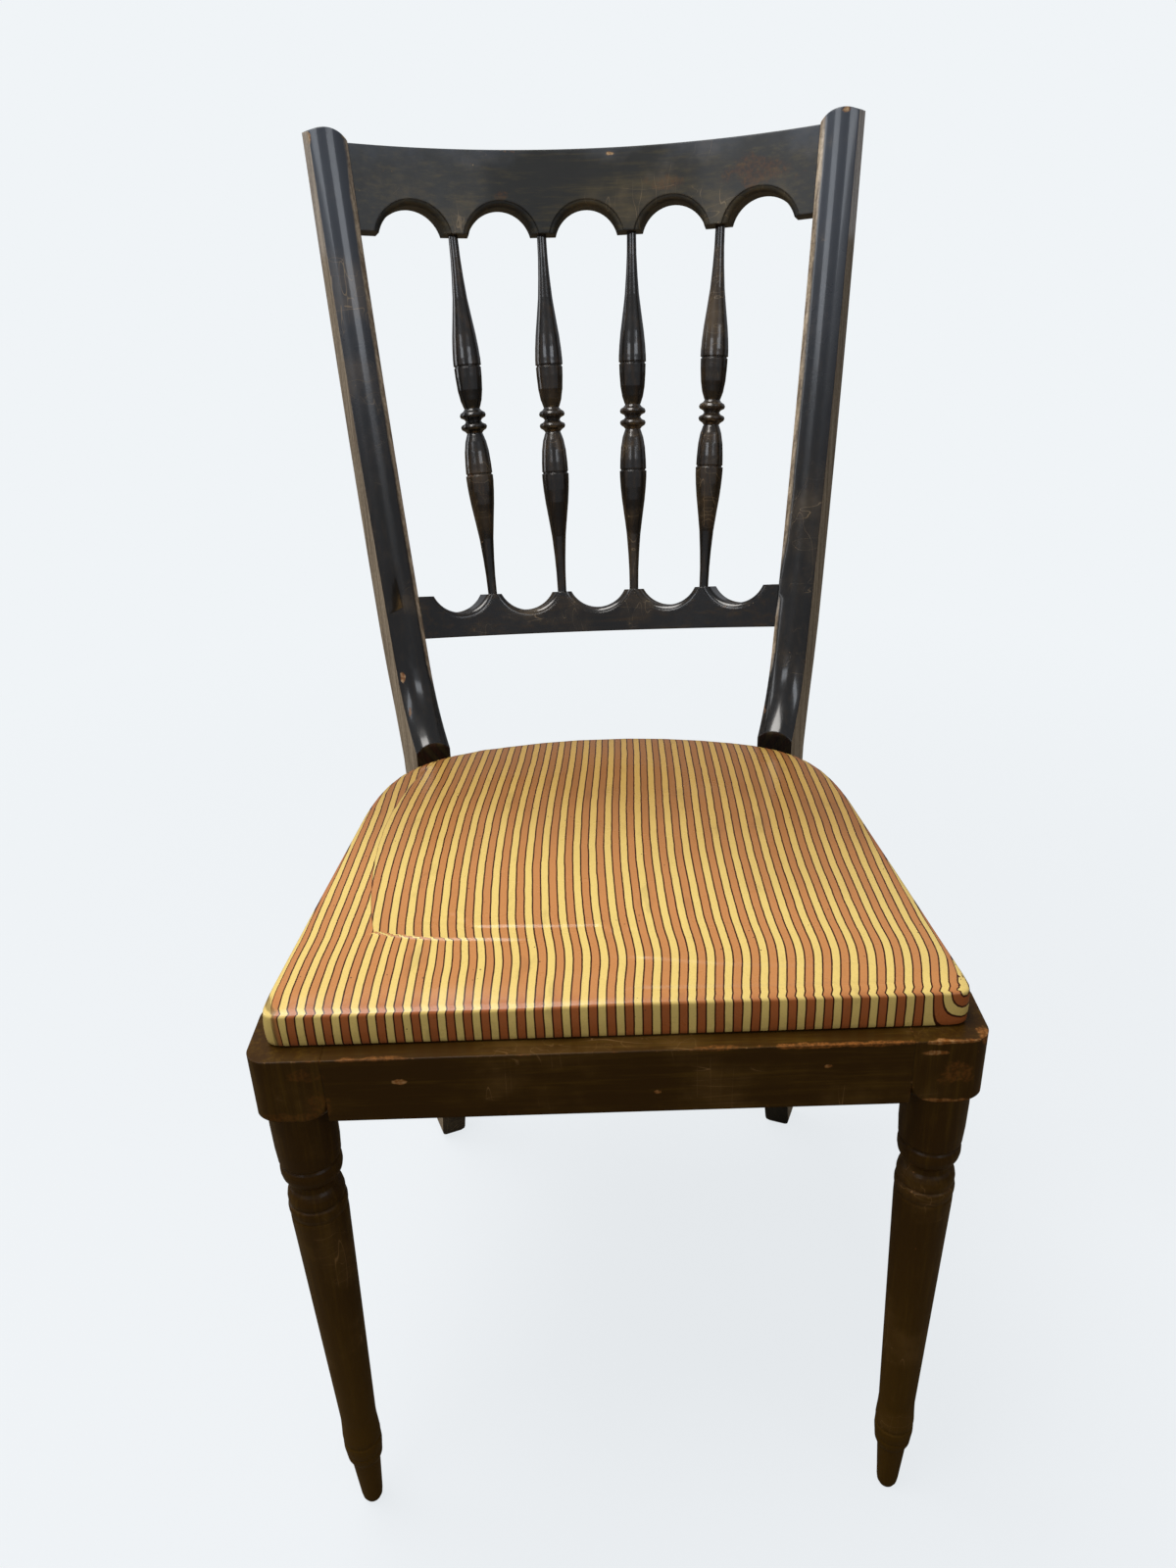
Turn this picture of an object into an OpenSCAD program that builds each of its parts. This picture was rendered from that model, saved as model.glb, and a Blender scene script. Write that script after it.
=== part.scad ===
// Side chair: raked back with two curved rails and four turned spindles,
// turned front legs, splayed back posts and a thin padded seat on a board.
// Millimetres. +Z is up, the sitter faces -Y, +X is on the right seen from the front.
// Every piece is a separate solid, built where it sits in the finished chair.

/* [What to draw] */
// One piece by name, or all of them

/* [Seat frame] */
// Width over the two front leg blocks
frame_w = 415; // [380:1:460]
// Height of the top edge of the frame
frame_top = 417; // [400:1:450]
// Height of the frame's rails
rail_h = 43; // [35:1:70]
// Thickness of the frame's rails
rail_t = 22; // [18:1:28]
// Side of the square block at the top of a front leg
leg_block = 43; // [38:1:50]

/* [Back posts] */
// Distance of a post's inner front edge from the middle line, at the seat
post_x = 125; // [110:1:150]
// Distance of that edge behind the front legs' axis
post_y = 335; // [300:1:380]
// Turn of each post in plan, so that its front faces the sitter
post_turn = 22; // [0:1:30]
// Width of a post across its front
post_w = 28; // [24:1:34]
// Depth of a post at the seat
post_d = 46; // [36:1:55]
// Depth of a post where it starts to sweep forward
post_d_mid = 42; // [36:1:50]
// Depth of a post at its top
post_d_top = 24; // [22:1:40]
// Width of the post's foot
foot_w = 23; // [20:1:28]
// Depth of the post's foot
foot_d = 27; // [22:1:36]
// How far the foot is carried back behind the seat
foot_back = 43; // [20:1:80]
// How far the foot is carried outward
foot_out = 11; // [0:1:25]
// Average rake of the back above the sweep, from upright
rake = 13.8; // [8:0.2:18]
// Height below which the post sweeps forward to the seat
sweep_z = 500; // [490:1:520]
// How far back the post's front is at that height
sweep_back = 40; // [35:1:45]
// Radius of the forward sweep
sweep_r = 120; // [110:5:140]
// Height of the post's rounded top
post_top = 891; // [820:1:950]
// How far the front of a post is rounded forward of its edges
post_round = 5.5; // [2:0.5:8]
// Rounding of the foot's front and back corners
foot_round = 6; // [2:0.5:8]

/* [Crest rail] */
// Height of the crest's reference line at the posts
crest_z = 817; // [760:1:860]
// Height of the crest up the rake
crest_h = 64.5; // [50:0.5:80]
// Depth of the crest's curve
crest_sag = 41; // [20:1:60]
// Rake of the crest
crest_rake = 11.5; // [8:0.5:16]
// Radius of the round worked along the front of each arch
arch_round = 4.5; // [3:0.5:9]

/* [Lower back rail] */
// Height of the rail's upper line at the posts
lower_z = 555; // [530:1:600]
// Depth of the lower rail's curve
lower_sag = 42; // [20:1:60]
// Rake of the lower rail
lower_rake = 17; // [8:0.5:22]
// Thickness of both back rails
back_rail_t = 20; // [16:1:26]

/* [Spindles] */
// Radius of a spindle where it enters a rail
spindle_end_r = 3.7; // [3:0.1:6]
// How far a spindle is let into a rail
spindle_in = 10; // [6:1:14]

/* [Seat] */
// Thickness of the seat board
board_t = 8; // [6:1:15]
// Thickness of the cover
cover_t = 1.2; // [0.8:0.1:2.5]
// Height of the fold around the edge of the seat
seat_edge_z = 440; // [430:1:460]
// Height of the middle of the seat
seat_crown_z = 449; // [440:1:470]

/* [Hidden] */
$fn = 72;
// Preview colours
lacquer = [0.16, 0.13, 0.10];
bare_wood = [0.66, 0.50, 0.32];
wadding = [0.85, 0.80, 0.60];
vinyl = [0.86, 0.62, 0.38];
steel = [0.62, 0.62, 0.64];

// Underside of the seat frame
frame_bot = frame_top - rail_h;
// Axis of a front leg
leg_x = frame_w / 2 - leg_block / 2;
// Front and back faces of the leg blocks
front_y = -leg_block / 2;
block_back_y = leg_block / 2;
// Back edge of the curved part of a post's leg, where it becomes straight
bend_z = 370;
// Height at which the rear face starts to lean back
rear_low = 400;

// The stile's front is a long arc in the post's own plane: length, radius and centre
stile_len = (post_top - sweep_z) / cos(rake);
stile_sag = 6;
stile_r = stile_len * stile_len / (8 * stile_sag) + stile_sag / 2;
stile_cy = sweep_back + stile_len / 2 * sin(rake) + (stile_sag - stile_r) * cos(rake);
stile_cz = sweep_z + stile_len / 2 * cos(rake) - (stile_sag - stile_r) * sin(rake);
// Its slope where the forward sweep, a tighter arc tangent to it, takes over
stile_slope = asin((stile_cz - sweep_z) / stile_r);
sweep_cy = sweep_back - sweep_r * cos(stile_slope);
sweep_cz = sweep_z + sweep_r * sin(stile_slope);
// Slope at which the sweep is well inside the straight block of the post
sweep_end = 58;
// Height at which the sweep reaches the block's flat front
sweep_low = sweep_cz - sqrt(sweep_r * sweep_r - sweep_cy * sweep_cy);
// The leg's front is an arc that leaves the straight block at bend_z
leg_r = (bend_z * bend_z + foot_back * foot_back) / (2 * foot_back);

// Distance of the post's front edge behind its place at the seat, at height z
function post_back(z) =
    z > sweep_z ? stile_cy + sqrt(stile_r * stile_r - (z - stile_cz) * (z - stile_cz))
    : z > sweep_low ? sweep_cy + sqrt(sweep_r * sweep_r - (z - sweep_cz) * (z - sweep_cz))
    : z > bend_z ? 0
    : leg_r - sqrt(leg_r * leg_r - (bend_z - z) * (bend_z - z));
// Distance of the post's rear face behind the same place at height z
function post_rear(z) =
    z >= sweep_z ? post_back(z)
        + post_d_mid + (post_d_top - post_d_mid) * (z - sweep_z) / (post_top - sweep_z)
    : z > rear_low ? post_d
        + (sweep_back + post_d_mid - post_d) * pow((z - rear_low) / (sweep_z - rear_low), 1.3)
    : z > bend_z ? post_d
    : post_back(z) + foot_d + (post_d - foot_d) * z / bend_z;

// Where the two back rails meet the posts' inner faces
crest_y = post_y + post_back(crest_z) * cos(post_turn);
crest_half = post_x + post_back(crest_z + 30) * sin(post_turn);
crest_r = (crest_half * crest_half + crest_sag * crest_sag) / (2 * crest_sag);
lower_y = post_y + post_back(lower_z - 18) * cos(post_turn) + 18 * sin(lower_rake);
lower_half = post_x + post_back(lower_z - 18) * sin(post_turn);
lower_r = (lower_half * lower_half + lower_sag * lower_sag) / (2 * lower_sag);
// Level of the crest's cusps and of the lower rail's, up the rake from their reference lines
crest_cusp = 5;
lower_cusp = -2;
// Bottom of the lower rail on the same scale
lower_low = -36;
// Arches under the crest: offset from the middle, half width at the cusps
crest_arches = [[0, 24.7], [66.8, 25.2], [-66.8, 25.2], [133.3, 25.7], [-133.3, 25.7]];
arch_rise = 19.5;
// Scallops along the lower rail: offset from the middle, half width at the cusps
lower_scallops = [[0, 22.8], [57.6, 23], [-57.6, 23], [112.5, 22.8], [-112.5, 22.8]];
scallop_drop = 14;
// Spindle ends, from the middle line: on the lower rail and under the crest
spindle_low = [-88.8, -30.6, 30.6, 88.8];
spindle_high = [-105, -35.8, 35.8, 105];

// Middle of the chair front to back, so that the origin is under its middle
back_y = crest_y + (crest_sag + back_rail_t) * cos(crest_rake) + crest_h * sin(crest_rake);
mid_y = (front_y + back_y) / 2;

// Half outline of the seat cover at its widest, front to back
seat_half = [[188, -9], [193.5, -8], [196.6, -5], [197.5, 0], [196.8, 10], [187.4, 110],
    [176.5, 225], [174.2, 241], [171, 257], [166, 274], [159, 289.5], [150, 302],
    [138, 313], [120, 323.5], [104, 329.5], [80, 336.5], [50, 342.5], [20, 345.6]];
seat_pts = concat(seat_half, [for (i = [len(seat_half) - 1:-1:0]) [-seat_half[i][0], seat_half[i][1]]]);
seat_mid_y = 168;
// Seat outline drawn in by a distance
function seat_outline(inset) = [for (p = seat_pts)
    [p[0] * (1 - inset / 197), seat_mid_y + (p[1] - seat_mid_y) * (1 - inset / 178)]];
// Underside of the seat board
board_z = frame_top + cover_t;
// How far the cover is turned in under the board
turn_in = 26;

// Side rail: its outer face runs from the front block to the post
side_end = [154, 331.7];
side_slope = (frame_w / 2 - side_end[0]) / (side_end[1] - block_back_y);
side_turn = atan(side_slope);
function side_outer(y) = frame_w / 2 - side_slope * (y - block_back_y);
function side_inner(y) = side_outer(y) - rail_t / cos(side_turn);

dowel_r = 4;
dowel_z = [frame_bot + 12, frame_top - 12];
screw_r = 2;
screw_head_r = 4;

// Radius and height along a front leg, from the block down to the floor
leg_profile = [[0, 374], [19.4, 374], [19.6, 360], [19.3, 342], [18.7, 332], [17.1, 331],
    [17.1, 329.4], [18.1, 328.2], [18.6, 325.5], [18.6, 322.5], [18, 319.5], [16.6, 316.8],
    [14.7, 315], [13.9, 313.4], [13.8, 311.6], [14.3, 309.8], [15.7, 308], [16.8, 305.4],
    [17.4, 302.2], [17.3, 299.6], [16.5, 298.8], [16.5, 297.8], [17.6, 296.8], [18, 294.4],
    [17.9, 291.4], [17.3, 289], [17.1, 288], [17.6, 286.8], [17.6, 282],
    [12.1, 92], [12.4, 84], [13, 74], [12.9, 71], [12.3, 69.8], [12.3, 68.6],
    [13, 67.2], [13.1, 63], [12.7, 58.4], [12.1, 57.4], [12.1, 56.4], [12.4, 55.2],
    [12, 51], [11, 48.2], [9.9, 46.4], [7.5, 9], [6.9, 4.6], [5.6, 1.6], [3.8, 0], [0, 0]];
// Turned shoulder that rounds off the lower corners of the leg block
shoulder_profile = [[0, 374], [22.5, 374], [25.6, 376], [28.2, 380], [29.8, 385], [30.6, 391],
    [31, 417], [0, 417]];
// Radius along a spindle, from its middle outwards
spindle_half = [[0, 6.2], [1.6, 7.2], [3, 10], [4.6, 10.6], [6.4, 9.9], [8, 7.4], [9.6, 6.2],
    [11, 6.8], [16, 8.5], [24, 9.9], [34, 10.6], [41.2, 10.8], [41.6, 10.1], [42.6, 10.1],
    [43, 11.1], [48, 11], [56, 10.5], [66, 9.5], [80, 7.6], [94, 5.8], [110, 4.6], [124, 3.9]];

// A point of a back rail: u across, v up the rake, d into its thickness
function crest_point(u, v, d) =
    let(s = crest_sag - crest_r + sqrt((crest_r + d) * (crest_r + d) - u * u))
    [u, crest_y + s * cos(crest_rake) + v * sin(crest_rake),
        crest_z - s * sin(crest_rake) + v * cos(crest_rake)];
function lower_point(u, v, d) =
    let(s = lower_sag - lower_r + sqrt((lower_r + d) * (lower_r + d) - u * u))
    [u, lower_y + s * cos(lower_rake) + v * sin(lower_rake),
        lower_z - s * sin(lower_rake) + v * cos(lower_rake)];

// Puts its children in the chair's frame, with the origin on the floor under the middle
module placed() {
    translate([0, -mid_y, 0])
        children();
}

// Puts its children in the plane of one post: x across it, y back along it
module at_post(side) {
    mirror([side < 0 ? 1 : 0, 0, 0])
        translate([post_x, post_y, 0])
            rotate([0, 0, -post_turn])
                children();
}

// Extrudes an outline drawn in depth and height across the post's width
module across_post(width, start) {
    translate([start, 0, 0])
        rotate([90, 0, 90])
            linear_extrude(height = width)
                children();
}

// Section of the stile, square behind and rounded in front, set out from an arc's centre
module stile_section(r) {
    round_r = (post_w * post_w / 4 + post_round * post_round) / (2 * post_round);
    union() {
        translate([r, -2])
            square([70, post_w + 4]);
        intersection() {
            translate([r + round_r - post_round, post_w / 2])
                circle(r = round_r, $fn = 96);
            translate([r - post_round - 1, -1])
                square([post_round + 11, post_w + 2]);
        }
    }
}

// Part of a ring with the stile's section, between two slopes of its front
module stile_arc(y, z, r, low, high, fn) {
    translate([0, y, z])
        rotate([90, 0, 90])
            rotate([0, 0, -low])
                rotate_extrude(angle = low - high, $fn = fn)
                    stile_section(r);
}

// Side view of a post's leg, with the foot's corners taken off
module leg_outline() {
    low = [for (i = [1:10]) bend_z * i / 10];
    polygon(concat([[post_back(0) + foot_round, 0], [post_back(0) + foot_round * 0.3,
        foot_round * 0.3], [post_back(foot_round), foot_round]],
        [for (z = low) [post_back(z), z]],
        [[0, 440], [post_rear(440), 440], [post_rear(frame_top), frame_top]],
        [for (i = [9:-1:0]) [post_rear(low[i]), low[i]]],
        [[post_rear(foot_round), foot_round], [post_rear(0) - foot_round * 0.3,
        foot_round * 0.3], [post_rear(0) - foot_round, 0]]));
}

// Side view of the stile: nothing of it comes forward of the block's flat front
module stile_outline() {
    high = [for (i = [0:16]) 425 + (post_top + 12 - 425) * i / 16];
    polygon(concat([[0, 425], [0, post_top + 12]],
        [for (i = [16:-1:0]) [post_rear(high[i]), high[i]]]));
}

// Front view of a post: the leg under it narrows to a rounded foot, carried outward
module post_widths() {
    foot_r = foot_w / 2;
    polygon([[foot_out, foot_r - 1], [foot_out + foot_w, foot_r - 1], [post_w, bend_z],
        [post_w, post_top], [0, post_top], [0, bend_z]]);
    translate([foot_out + foot_r, foot_r - 1])
        circle(r = foot_r, $fn = 64);
}

module back_post(side) {
    at_post(side) difference() {
        union() {
            intersection() {
                across_post(80, -20)
                    leg_outline();
                translate([0, 400, 0])
                    rotate([90, 0, 0])
                        linear_extrude(height = 500)
                            post_widths();
            }
            intersection() {
                across_post(post_w, 0)
                    stile_outline();
                union() {
                    stile_arc(stile_cy, stile_cz, stile_r, stile_slope,
                        2 * rake - stile_slope - 0.6, 2880);
                    stile_arc(sweep_cy, sweep_cz, sweep_r, sweep_end, stile_slope, 720);
                }
                // Rounded top
                union() {
                    translate([-30, -100, 400])
                        cube([120, 500, post_top - 422]);
                    translate([18, 400, post_top - 22])
                        rotate([90, 0, 0])
                            cylinder(h = 500, r = 22);
                }
            }
        }
        for (z = [crest_z + 40, crest_z + 56, lower_z - 26])
            back_dowel(z);
        back_rail_dowel();
        for (z = dowel_z)
            side_post_dowel(z);
    }
}

// Dowel between a post and a back rail, in the post's own plane
module back_dowel(z) {
    translate([-14, post_back(z) + 12, z])
        rotate([0, 90, 0])
            cylinder(h = 30, r = 3);
}

// Dowel between a post and the rail behind the seat
module back_rail_dowel() {
    translate([0, 0, frame_bot + rail_h / 2])
        rotate([0, 0, post_turn])
            translate([-18, 12, 0])
                rotate([0, 90, 0])
                    cylinder(h = 38, r = dowel_r);
}

// Dowel between a post and a side rail, along the rail
module side_post_dowel(z) {
    translate([17, 0, z])
        rotate([0, 0, post_turn + side_turn])
            translate([0, -20, 0])
                rotate([-90, 0, 0])
                    cylinder(h = 32, r = dowel_r);
}

// Dowels of one side of the front: across the front rail and along the side rail
module front_dowels(side) {
    mirror([side < 0 ? 1 : 0, 0, 0])
        for (z = dowel_z) {
            translate([leg_x - leg_block / 2 - 18, front_y + 11, z])
                rotate([0, 90, 0])
                    cylinder(h = 36, r = dowel_r);
            translate([side_outer(block_back_y) - 11.5, block_back_y, z])
                rotate([0, 0, side_turn])
                    translate([0, -18, 0])
                        rotate([-90, 0, 0])
                            cylinder(h = 36, r = dowel_r);
        }
}

module front_leg(side) {
    difference() {
        union() {
            intersection() {
                translate([side * leg_x - leg_block / 2, front_y, frame_bot])
                    cube([leg_block, leg_block, rail_h]);
                translate([side * leg_x, 0, 0])
                    rotate_extrude()
                        polygon(shoulder_profile);
                // The outer front corner is rounded in plan
                union() {
                    translate([side * (leg_x - 12) - leg_block / 2, front_y, frame_bot])
                        cube([leg_block, leg_block, rail_h]);
                    translate([side * leg_x - leg_block / 2, front_y + 12, frame_bot])
                        cube([leg_block, leg_block - 12, rail_h]);
                    translate([side * (frame_w / 2 - 12), front_y + 12, frame_bot])
                        cylinder(h = rail_h, r = 12);
                }
            }
            translate([side * leg_x, 0, 0])
                rotate_extrude()
                    polygon(leg_profile);
        }
        front_dowels(side);
    }
}

module front_rail() {
    color(lacquer) placed()
        difference() {
            translate([-(leg_x - leg_block / 2), front_y, frame_bot])
                cube([2 * leg_x - leg_block, rail_t, rail_h]);
            front_dowels(-1);
            front_dowels(1);
            block_screws(-1, true, 2.4);
            block_screws(1, true, 2.4);
        }
}

module side_rail(side) {
    difference() {
        mirror([side < 0 ? 1 : 0, 0, 0])
            difference() {
                translate([0, 0, frame_bot])
                    linear_extrude(height = rail_h)
                        polygon([[side_inner(block_back_y), block_back_y],
                            [frame_w / 2, block_back_y], [side_outer(360), 360],
                            [side_inner(360), 360]]);
                translate([post_x, post_y, 0])
                    rotate([0, 0, -post_turn])
                        translate([-60, 0, frame_bot - 1])
                            cube([60 + post_w, 80, rail_h + 2]);
            }
        front_dowels(side);
        at_post(side)
            for (z = dowel_z)
                side_post_dowel(z);
        block_screws(side, true, 2.4);
        block_screws(side, false, 2.4);
    }
}

module back_seat_rail() {
    back_face = post_y + 1 + rail_t;
    slope = tan(post_turn);
    color(lacquer) placed()
        difference() {
            translate([0, 0, frame_bot])
                linear_extrude(height = rail_h)
                    polygon([[-post_x - slope, post_y + 1], [post_x + slope, post_y + 1],
                        [post_x + slope * (rail_t + 1), back_face],
                        [-post_x - slope * (rail_t + 1), back_face]]);
            for (side = [-1, 1]) {
                at_post(side)
                    back_rail_dowel();
                block_screws(side, false, 2.4);
            }
        }
}

// Curved bar of a back rail between two heights up the rake, a little over long
module curved_bar(r, low, high) {
    intersection() {
        difference() {
            translate([0, 0, low])
                cylinder(h = high - low, r = r + back_rail_t, $fn = 180);
            translate([0, 0, low - 1])
                cylinder(h = high - low + 2, r = r, $fn = 180);
        }
        translate([-post_x - 85, r * 0.5, low - 2])
            cube([2 * post_x + 170, r, high - low + 4]);
    }
}

// Cutter for one arch: a round hole whose front edge is worked to a quarter round
module arch_cutter(r, hole_r, u, v) {
    rotate([0, 0, -asin(u / r)])
        translate([0, r - 6, v])
            rotate([-90, 0, 0])
                rotate_extrude()
                    union() {
                        square([hole_r, back_rail_t + 12]);
                        difference() {
                            square([hole_r + arch_round, 6.4 + arch_round]);
                            translate([hole_r + arch_round, 6.4 + arch_round])
                                circle(r = arch_round, $fn = 48);
                        }
                    }
}

// Everything outside the two posts' inner faces
module beyond_posts() {
    for (side = [-1, 1])
        at_post(side)
            translate([0, -300, 300])
                cube([200, 800, 700]);
}

module crest_rail() {
    color(lacquer) placed()
        difference() {
            translate([0, crest_y, crest_z])
                rotate([-crest_rake, 0, 0])
                    translate([0, crest_sag - crest_r, 0])
                        difference() {
                            curved_bar(crest_r, crest_cusp, crest_h);
                            for (a = crest_arches) {
                                hole_r = (a[1] * a[1] + arch_rise * arch_rise) / (2 * arch_rise);
                                arch_cutter(crest_r, hole_r, a[0], crest_cusp + arch_rise - hole_r);
                            }
                        }
            beyond_posts();
            for (i = [0:3])
                spindle_peg(i);
            for (side = [-1, 1])
                at_post(side)
                    for (z = [crest_z + 40, crest_z + 56])
                        back_dowel(z);
        }
}

module lower_back_rail() {
    color(lacquer) placed()
        difference() {
            translate([0, lower_y, lower_z])
                rotate([-lower_rake, 0, 0])
                    translate([0, lower_sag - lower_r, 0])
                        difference() {
                            curved_bar(lower_r, lower_low, lower_cusp);
                            for (a = lower_scallops) {
                                hole_r = (a[1] * a[1] + scallop_drop * scallop_drop) / (2 * scallop_drop);
                                arch_cutter(lower_r, hole_r, a[0], lower_cusp - scallop_drop + hole_r);
                            }
                        }
            beyond_posts();
            for (i = [0:3])
                spindle_peg(i);
            for (side = [-1, 1])
                at_post(side)
                    back_dowel(lower_z - 26);
        }
}

// Ends of spindle i and its length between the two rails
function spindle_a(i) = lower_point(spindle_low[i], lower_cusp, back_rail_t / 2);
function spindle_b(i) = crest_point(spindle_high[i], crest_cusp, back_rail_t / 2);

// Stands its children on the lower end of spindle i, pointing at the upper end
module along_spindle(i) {
    a = spindle_a(i);
    d = spindle_b(i) - a;
    translate(a)
        rotate([0, acos(d[2] / norm(d)), atan2(d[1], d[0])])
            children();
}

// The length of spindle i let into the rails at both ends
module spindle_peg(i) {
    len = norm(spindle_b(i) - spindle_a(i));
    along_spindle(i)
        translate([0, 0, -spindle_in])
            cylinder(h = len + 2 * spindle_in, r = spindle_end_r);
}

module spindle(i) {
    len = norm(spindle_b(i) - spindle_a(i));
    half = spindle_half;
    n = len(half);
    upper = [for (p = half) [p[1], len / 2 + p[0]]];
    lower = [for (k = [n - 1:-1:1]) [half[k][1], len / 2 - half[k][0]]];
    along_spindle(i)
        rotate_extrude()
            polygon(concat([[0, -spindle_in], [spindle_end_r, -spindle_in], [spindle_end_r, 3]],
                lower, upper,
                [[spindle_end_r, len - 3], [spindle_end_r, len + spindle_in], [0, len + spindle_in]]));
}

// Seat solid above a height, crowned on top and drawn in by a distance all round
module seat_solid(inset, low, drop) {
    crown = seat_crown_z - seat_edge_z;
    crown_r = (168 * 168 + crown * crown) / (2 * crown);
    union() {
        translate([0, 0, low])
            linear_extrude(height = seat_edge_z - drop - low)
                polygon(seat_outline(inset));
        intersection() {
            translate([0, 0, seat_edge_z - drop - 6])
                linear_extrude(height = crown + 12)
                    polygon(seat_outline(inset + 8));
            translate([0, seat_mid_y, seat_crown_z - drop - crown_r])
                sphere(r = crown_r, $fn = 200);
        }
    }
}

// Corner blocks glued and screwed inside the frame, in plan
function block_front() = [[118, front_y + rail_t], [leg_x - leg_block / 2, front_y + rail_t],
    [leg_x - leg_block / 2, block_back_y], [side_inner(block_back_y), block_back_y],
    [side_inner(68), 68]];
function block_back() = [[70, post_y + 1], [post_x + tan(post_turn), post_y + 1],
    [post_x, post_y], block_post_corner, [side_inner(270), 270]];
// Where the inner face of a side rail meets the front of the post
block_post_y = (post_y - (side_inner(0) - post_x) * tan(post_turn))
    / (1 - side_slope * tan(post_turn));
block_post_corner = [side_inner(block_post_y), block_post_y];
block_low = frame_top - 34;
// Seat screws go up through the corner blocks into the board
seat_screw_points = [[-160, 32], [160, 32], [-118, 304], [118, 304]];
seat_screw_len = board_z + 6 - block_low - 2.4;

module corner_block(side, front) {
    difference() {
        mirror([side < 0 ? 1 : 0, 0, 0])
            translate([0, 0, block_low])
                linear_extrude(height = 30)
                    polygon(front ? block_front() : block_back());
        seat_screw_set(2.4);
        block_screws(side, front, 30);
    }
}

// One wood screw lying along +Z, its shank starting at the origin under a head
module wood_screw(length, head = 2.4) {
    union() {
        translate([0, 0, -head])
            cylinder(h = head, r = screw_head_r);
        cylinder(h = length - 5, r = screw_r);
        translate([0, 0, length - 5])
            cylinder(h = 5, r1 = screw_r, r2 = 0.4);
    }
}

module seat_screw_set(head) {
    for (p = seat_screw_points)
        translate([p[0], p[1], block_low + 2.4])
            wood_screw(seat_screw_len, head);
}

// Two screws that hold one corner block: one into each rail it meets
module block_screws(side, front, head) {
    mirror([side < 0 ? 1 : 0, 0, 0])
        if (front) {
            translate([139, 20.4, block_low + 11])
                rotate([90, 0, 0])
                    wood_screw(32, head);
            translate([167, 52, block_low + 12.5])
                rotate([0, 90, side_turn])
                    wood_screw(30, head);
        } else {
            translate([90, 321, block_low + 11])
                rotate([-90, 0, 0])
                    wood_screw(28, head);
            translate([124, 290, block_low + 12.5])
                rotate([0, 90, side_turn])
                    wood_screw(30, head);
        }
}

// Staples that hold the turned-in edge of the cover under the board
staple_points = concat([for (x = [-140:70:140]) [x, 8, 0]],
    [for (y = [60:60:240]) each [[side_inner(y) - 4, y, 90], [-side_inner(y) + 4, y, 90]]],
    [for (x = [-45:90:45]) [x, 329, 0]]);
staple_r = 0.5;

module staple_legs() {
    for (p = staple_points)
        translate([p[0], p[1], board_z - cover_t])
            rotate([0, 0, p[2]])
                for (x = [-4.5, 4.5])
                    translate([x, 0, 0])
                        cylinder(h = 6.5, r = staple_r, $fn = 24);
}

module seat_board() {
    color(bare_wood) placed()
        difference() {
            translate([0, 0, board_z])
                linear_extrude(height = board_t)
                    polygon(seat_outline(1.6));
            seat_screw_set(2.4);
            staple_legs();
        }
}

module seat_padding() {
    color(wadding) placed()
        seat_solid(1.8, board_z + board_t + 0.1, cover_t + 0.2);
}

module seat_cover() {
    color(vinyl) placed()
        difference() {
            seat_solid(0, frame_top, 0);
            seat_solid(cover_t, board_z, cover_t);
            translate([0, 0, frame_top - 1])
                linear_extrude(height = 5)
                    polygon(seat_outline(turn_in));
            seat_screw_set(2.4);
            staple_legs();
        }
}

module cover_staples() {
    color(steel) placed()
        union() {
            staple_legs();
            for (p = staple_points)
                translate([p[0], p[1], board_z - cover_t])
                    rotate([0, 0, p[2]])
                        translate([-5, -staple_r, -0.8])
                            cube([10, 2 * staple_r, 0.8]);
        }
}

module seat_screws() {
    color(steel) placed()
        seat_screw_set(2.4);
}

module corner_block_screws() {
    color(steel) placed()
        for (side = [-1, 1], front = [true, false])
            block_screws(side, front, 2.4);
}

module frame_dowels() {
    color(bare_wood) placed()
        for (side = [-1, 1]) {
            front_dowels(side);
            at_post(side) {
                back_rail_dowel();
                for (z = dowel_z)
                    side_post_dowel(z);
            }
        }
}

module back_dowels() {
    color(bare_wood) placed()
        for (side = [-1, 1])
            at_post(side)
                for (z = [crest_z + 40, crest_z + 56, lower_z - 26])
                    back_dowel(z);
}

// The pieces that come in left and right pairs or in a row
module front_leg_left() {
    color(lacquer) placed()
        front_leg(-1);
}

module front_leg_right() {
    color(lacquer) placed()
        front_leg(1);
}

module back_post_left() {
    color(lacquer) placed()
        back_post(-1);
}

module back_post_right() {
    color(lacquer) placed()
        back_post(1);
}

module side_rail_left() {
    color(lacquer) placed()
        side_rail(-1);
}

module side_rail_right() {
    color(lacquer) placed()
        side_rail(1);
}

module spindle_1() {
    color(lacquer) placed()
        spindle(0);
}

module spindle_2() {
    color(lacquer) placed()
        spindle(1);
}

module spindle_3() {
    color(lacquer) placed()
        spindle(2);
}

module spindle_4() {
    color(lacquer) placed()
        spindle(3);
}

module corner_block_front_left() {
    color(bare_wood) placed()
        corner_block(-1, true);
}

module corner_block_front_right() {
    color(bare_wood) placed()
        corner_block(1, true);
}

module corner_block_back_left() {
    color(bare_wood) placed()
        corner_block(-1, false);
}

module corner_block_back_right() {
    color(bare_wood) placed()
        corner_block(1, false);
}

front_leg_left();
front_leg_right();
back_post_left();
back_post_right();
front_rail();
side_rail_left();
side_rail_right();
back_seat_rail();
crest_rail();
lower_back_rail();
spindle_1();
spindle_2();
spindle_3();
spindle_4();
seat_board();
seat_padding();
seat_cover();
corner_block_front_left();
corner_block_front_right();
corner_block_back_left();
corner_block_back_right();
seat_screws();
corner_block_screws();
frame_dowels();
back_dowels();
cover_staples();
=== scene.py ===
"""Worn dark side chair: finishes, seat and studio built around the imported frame."""

import logging
import math
from dataclasses import dataclass, field
from enum import Enum
from typing import Any, ClassVar, Sequence

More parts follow.
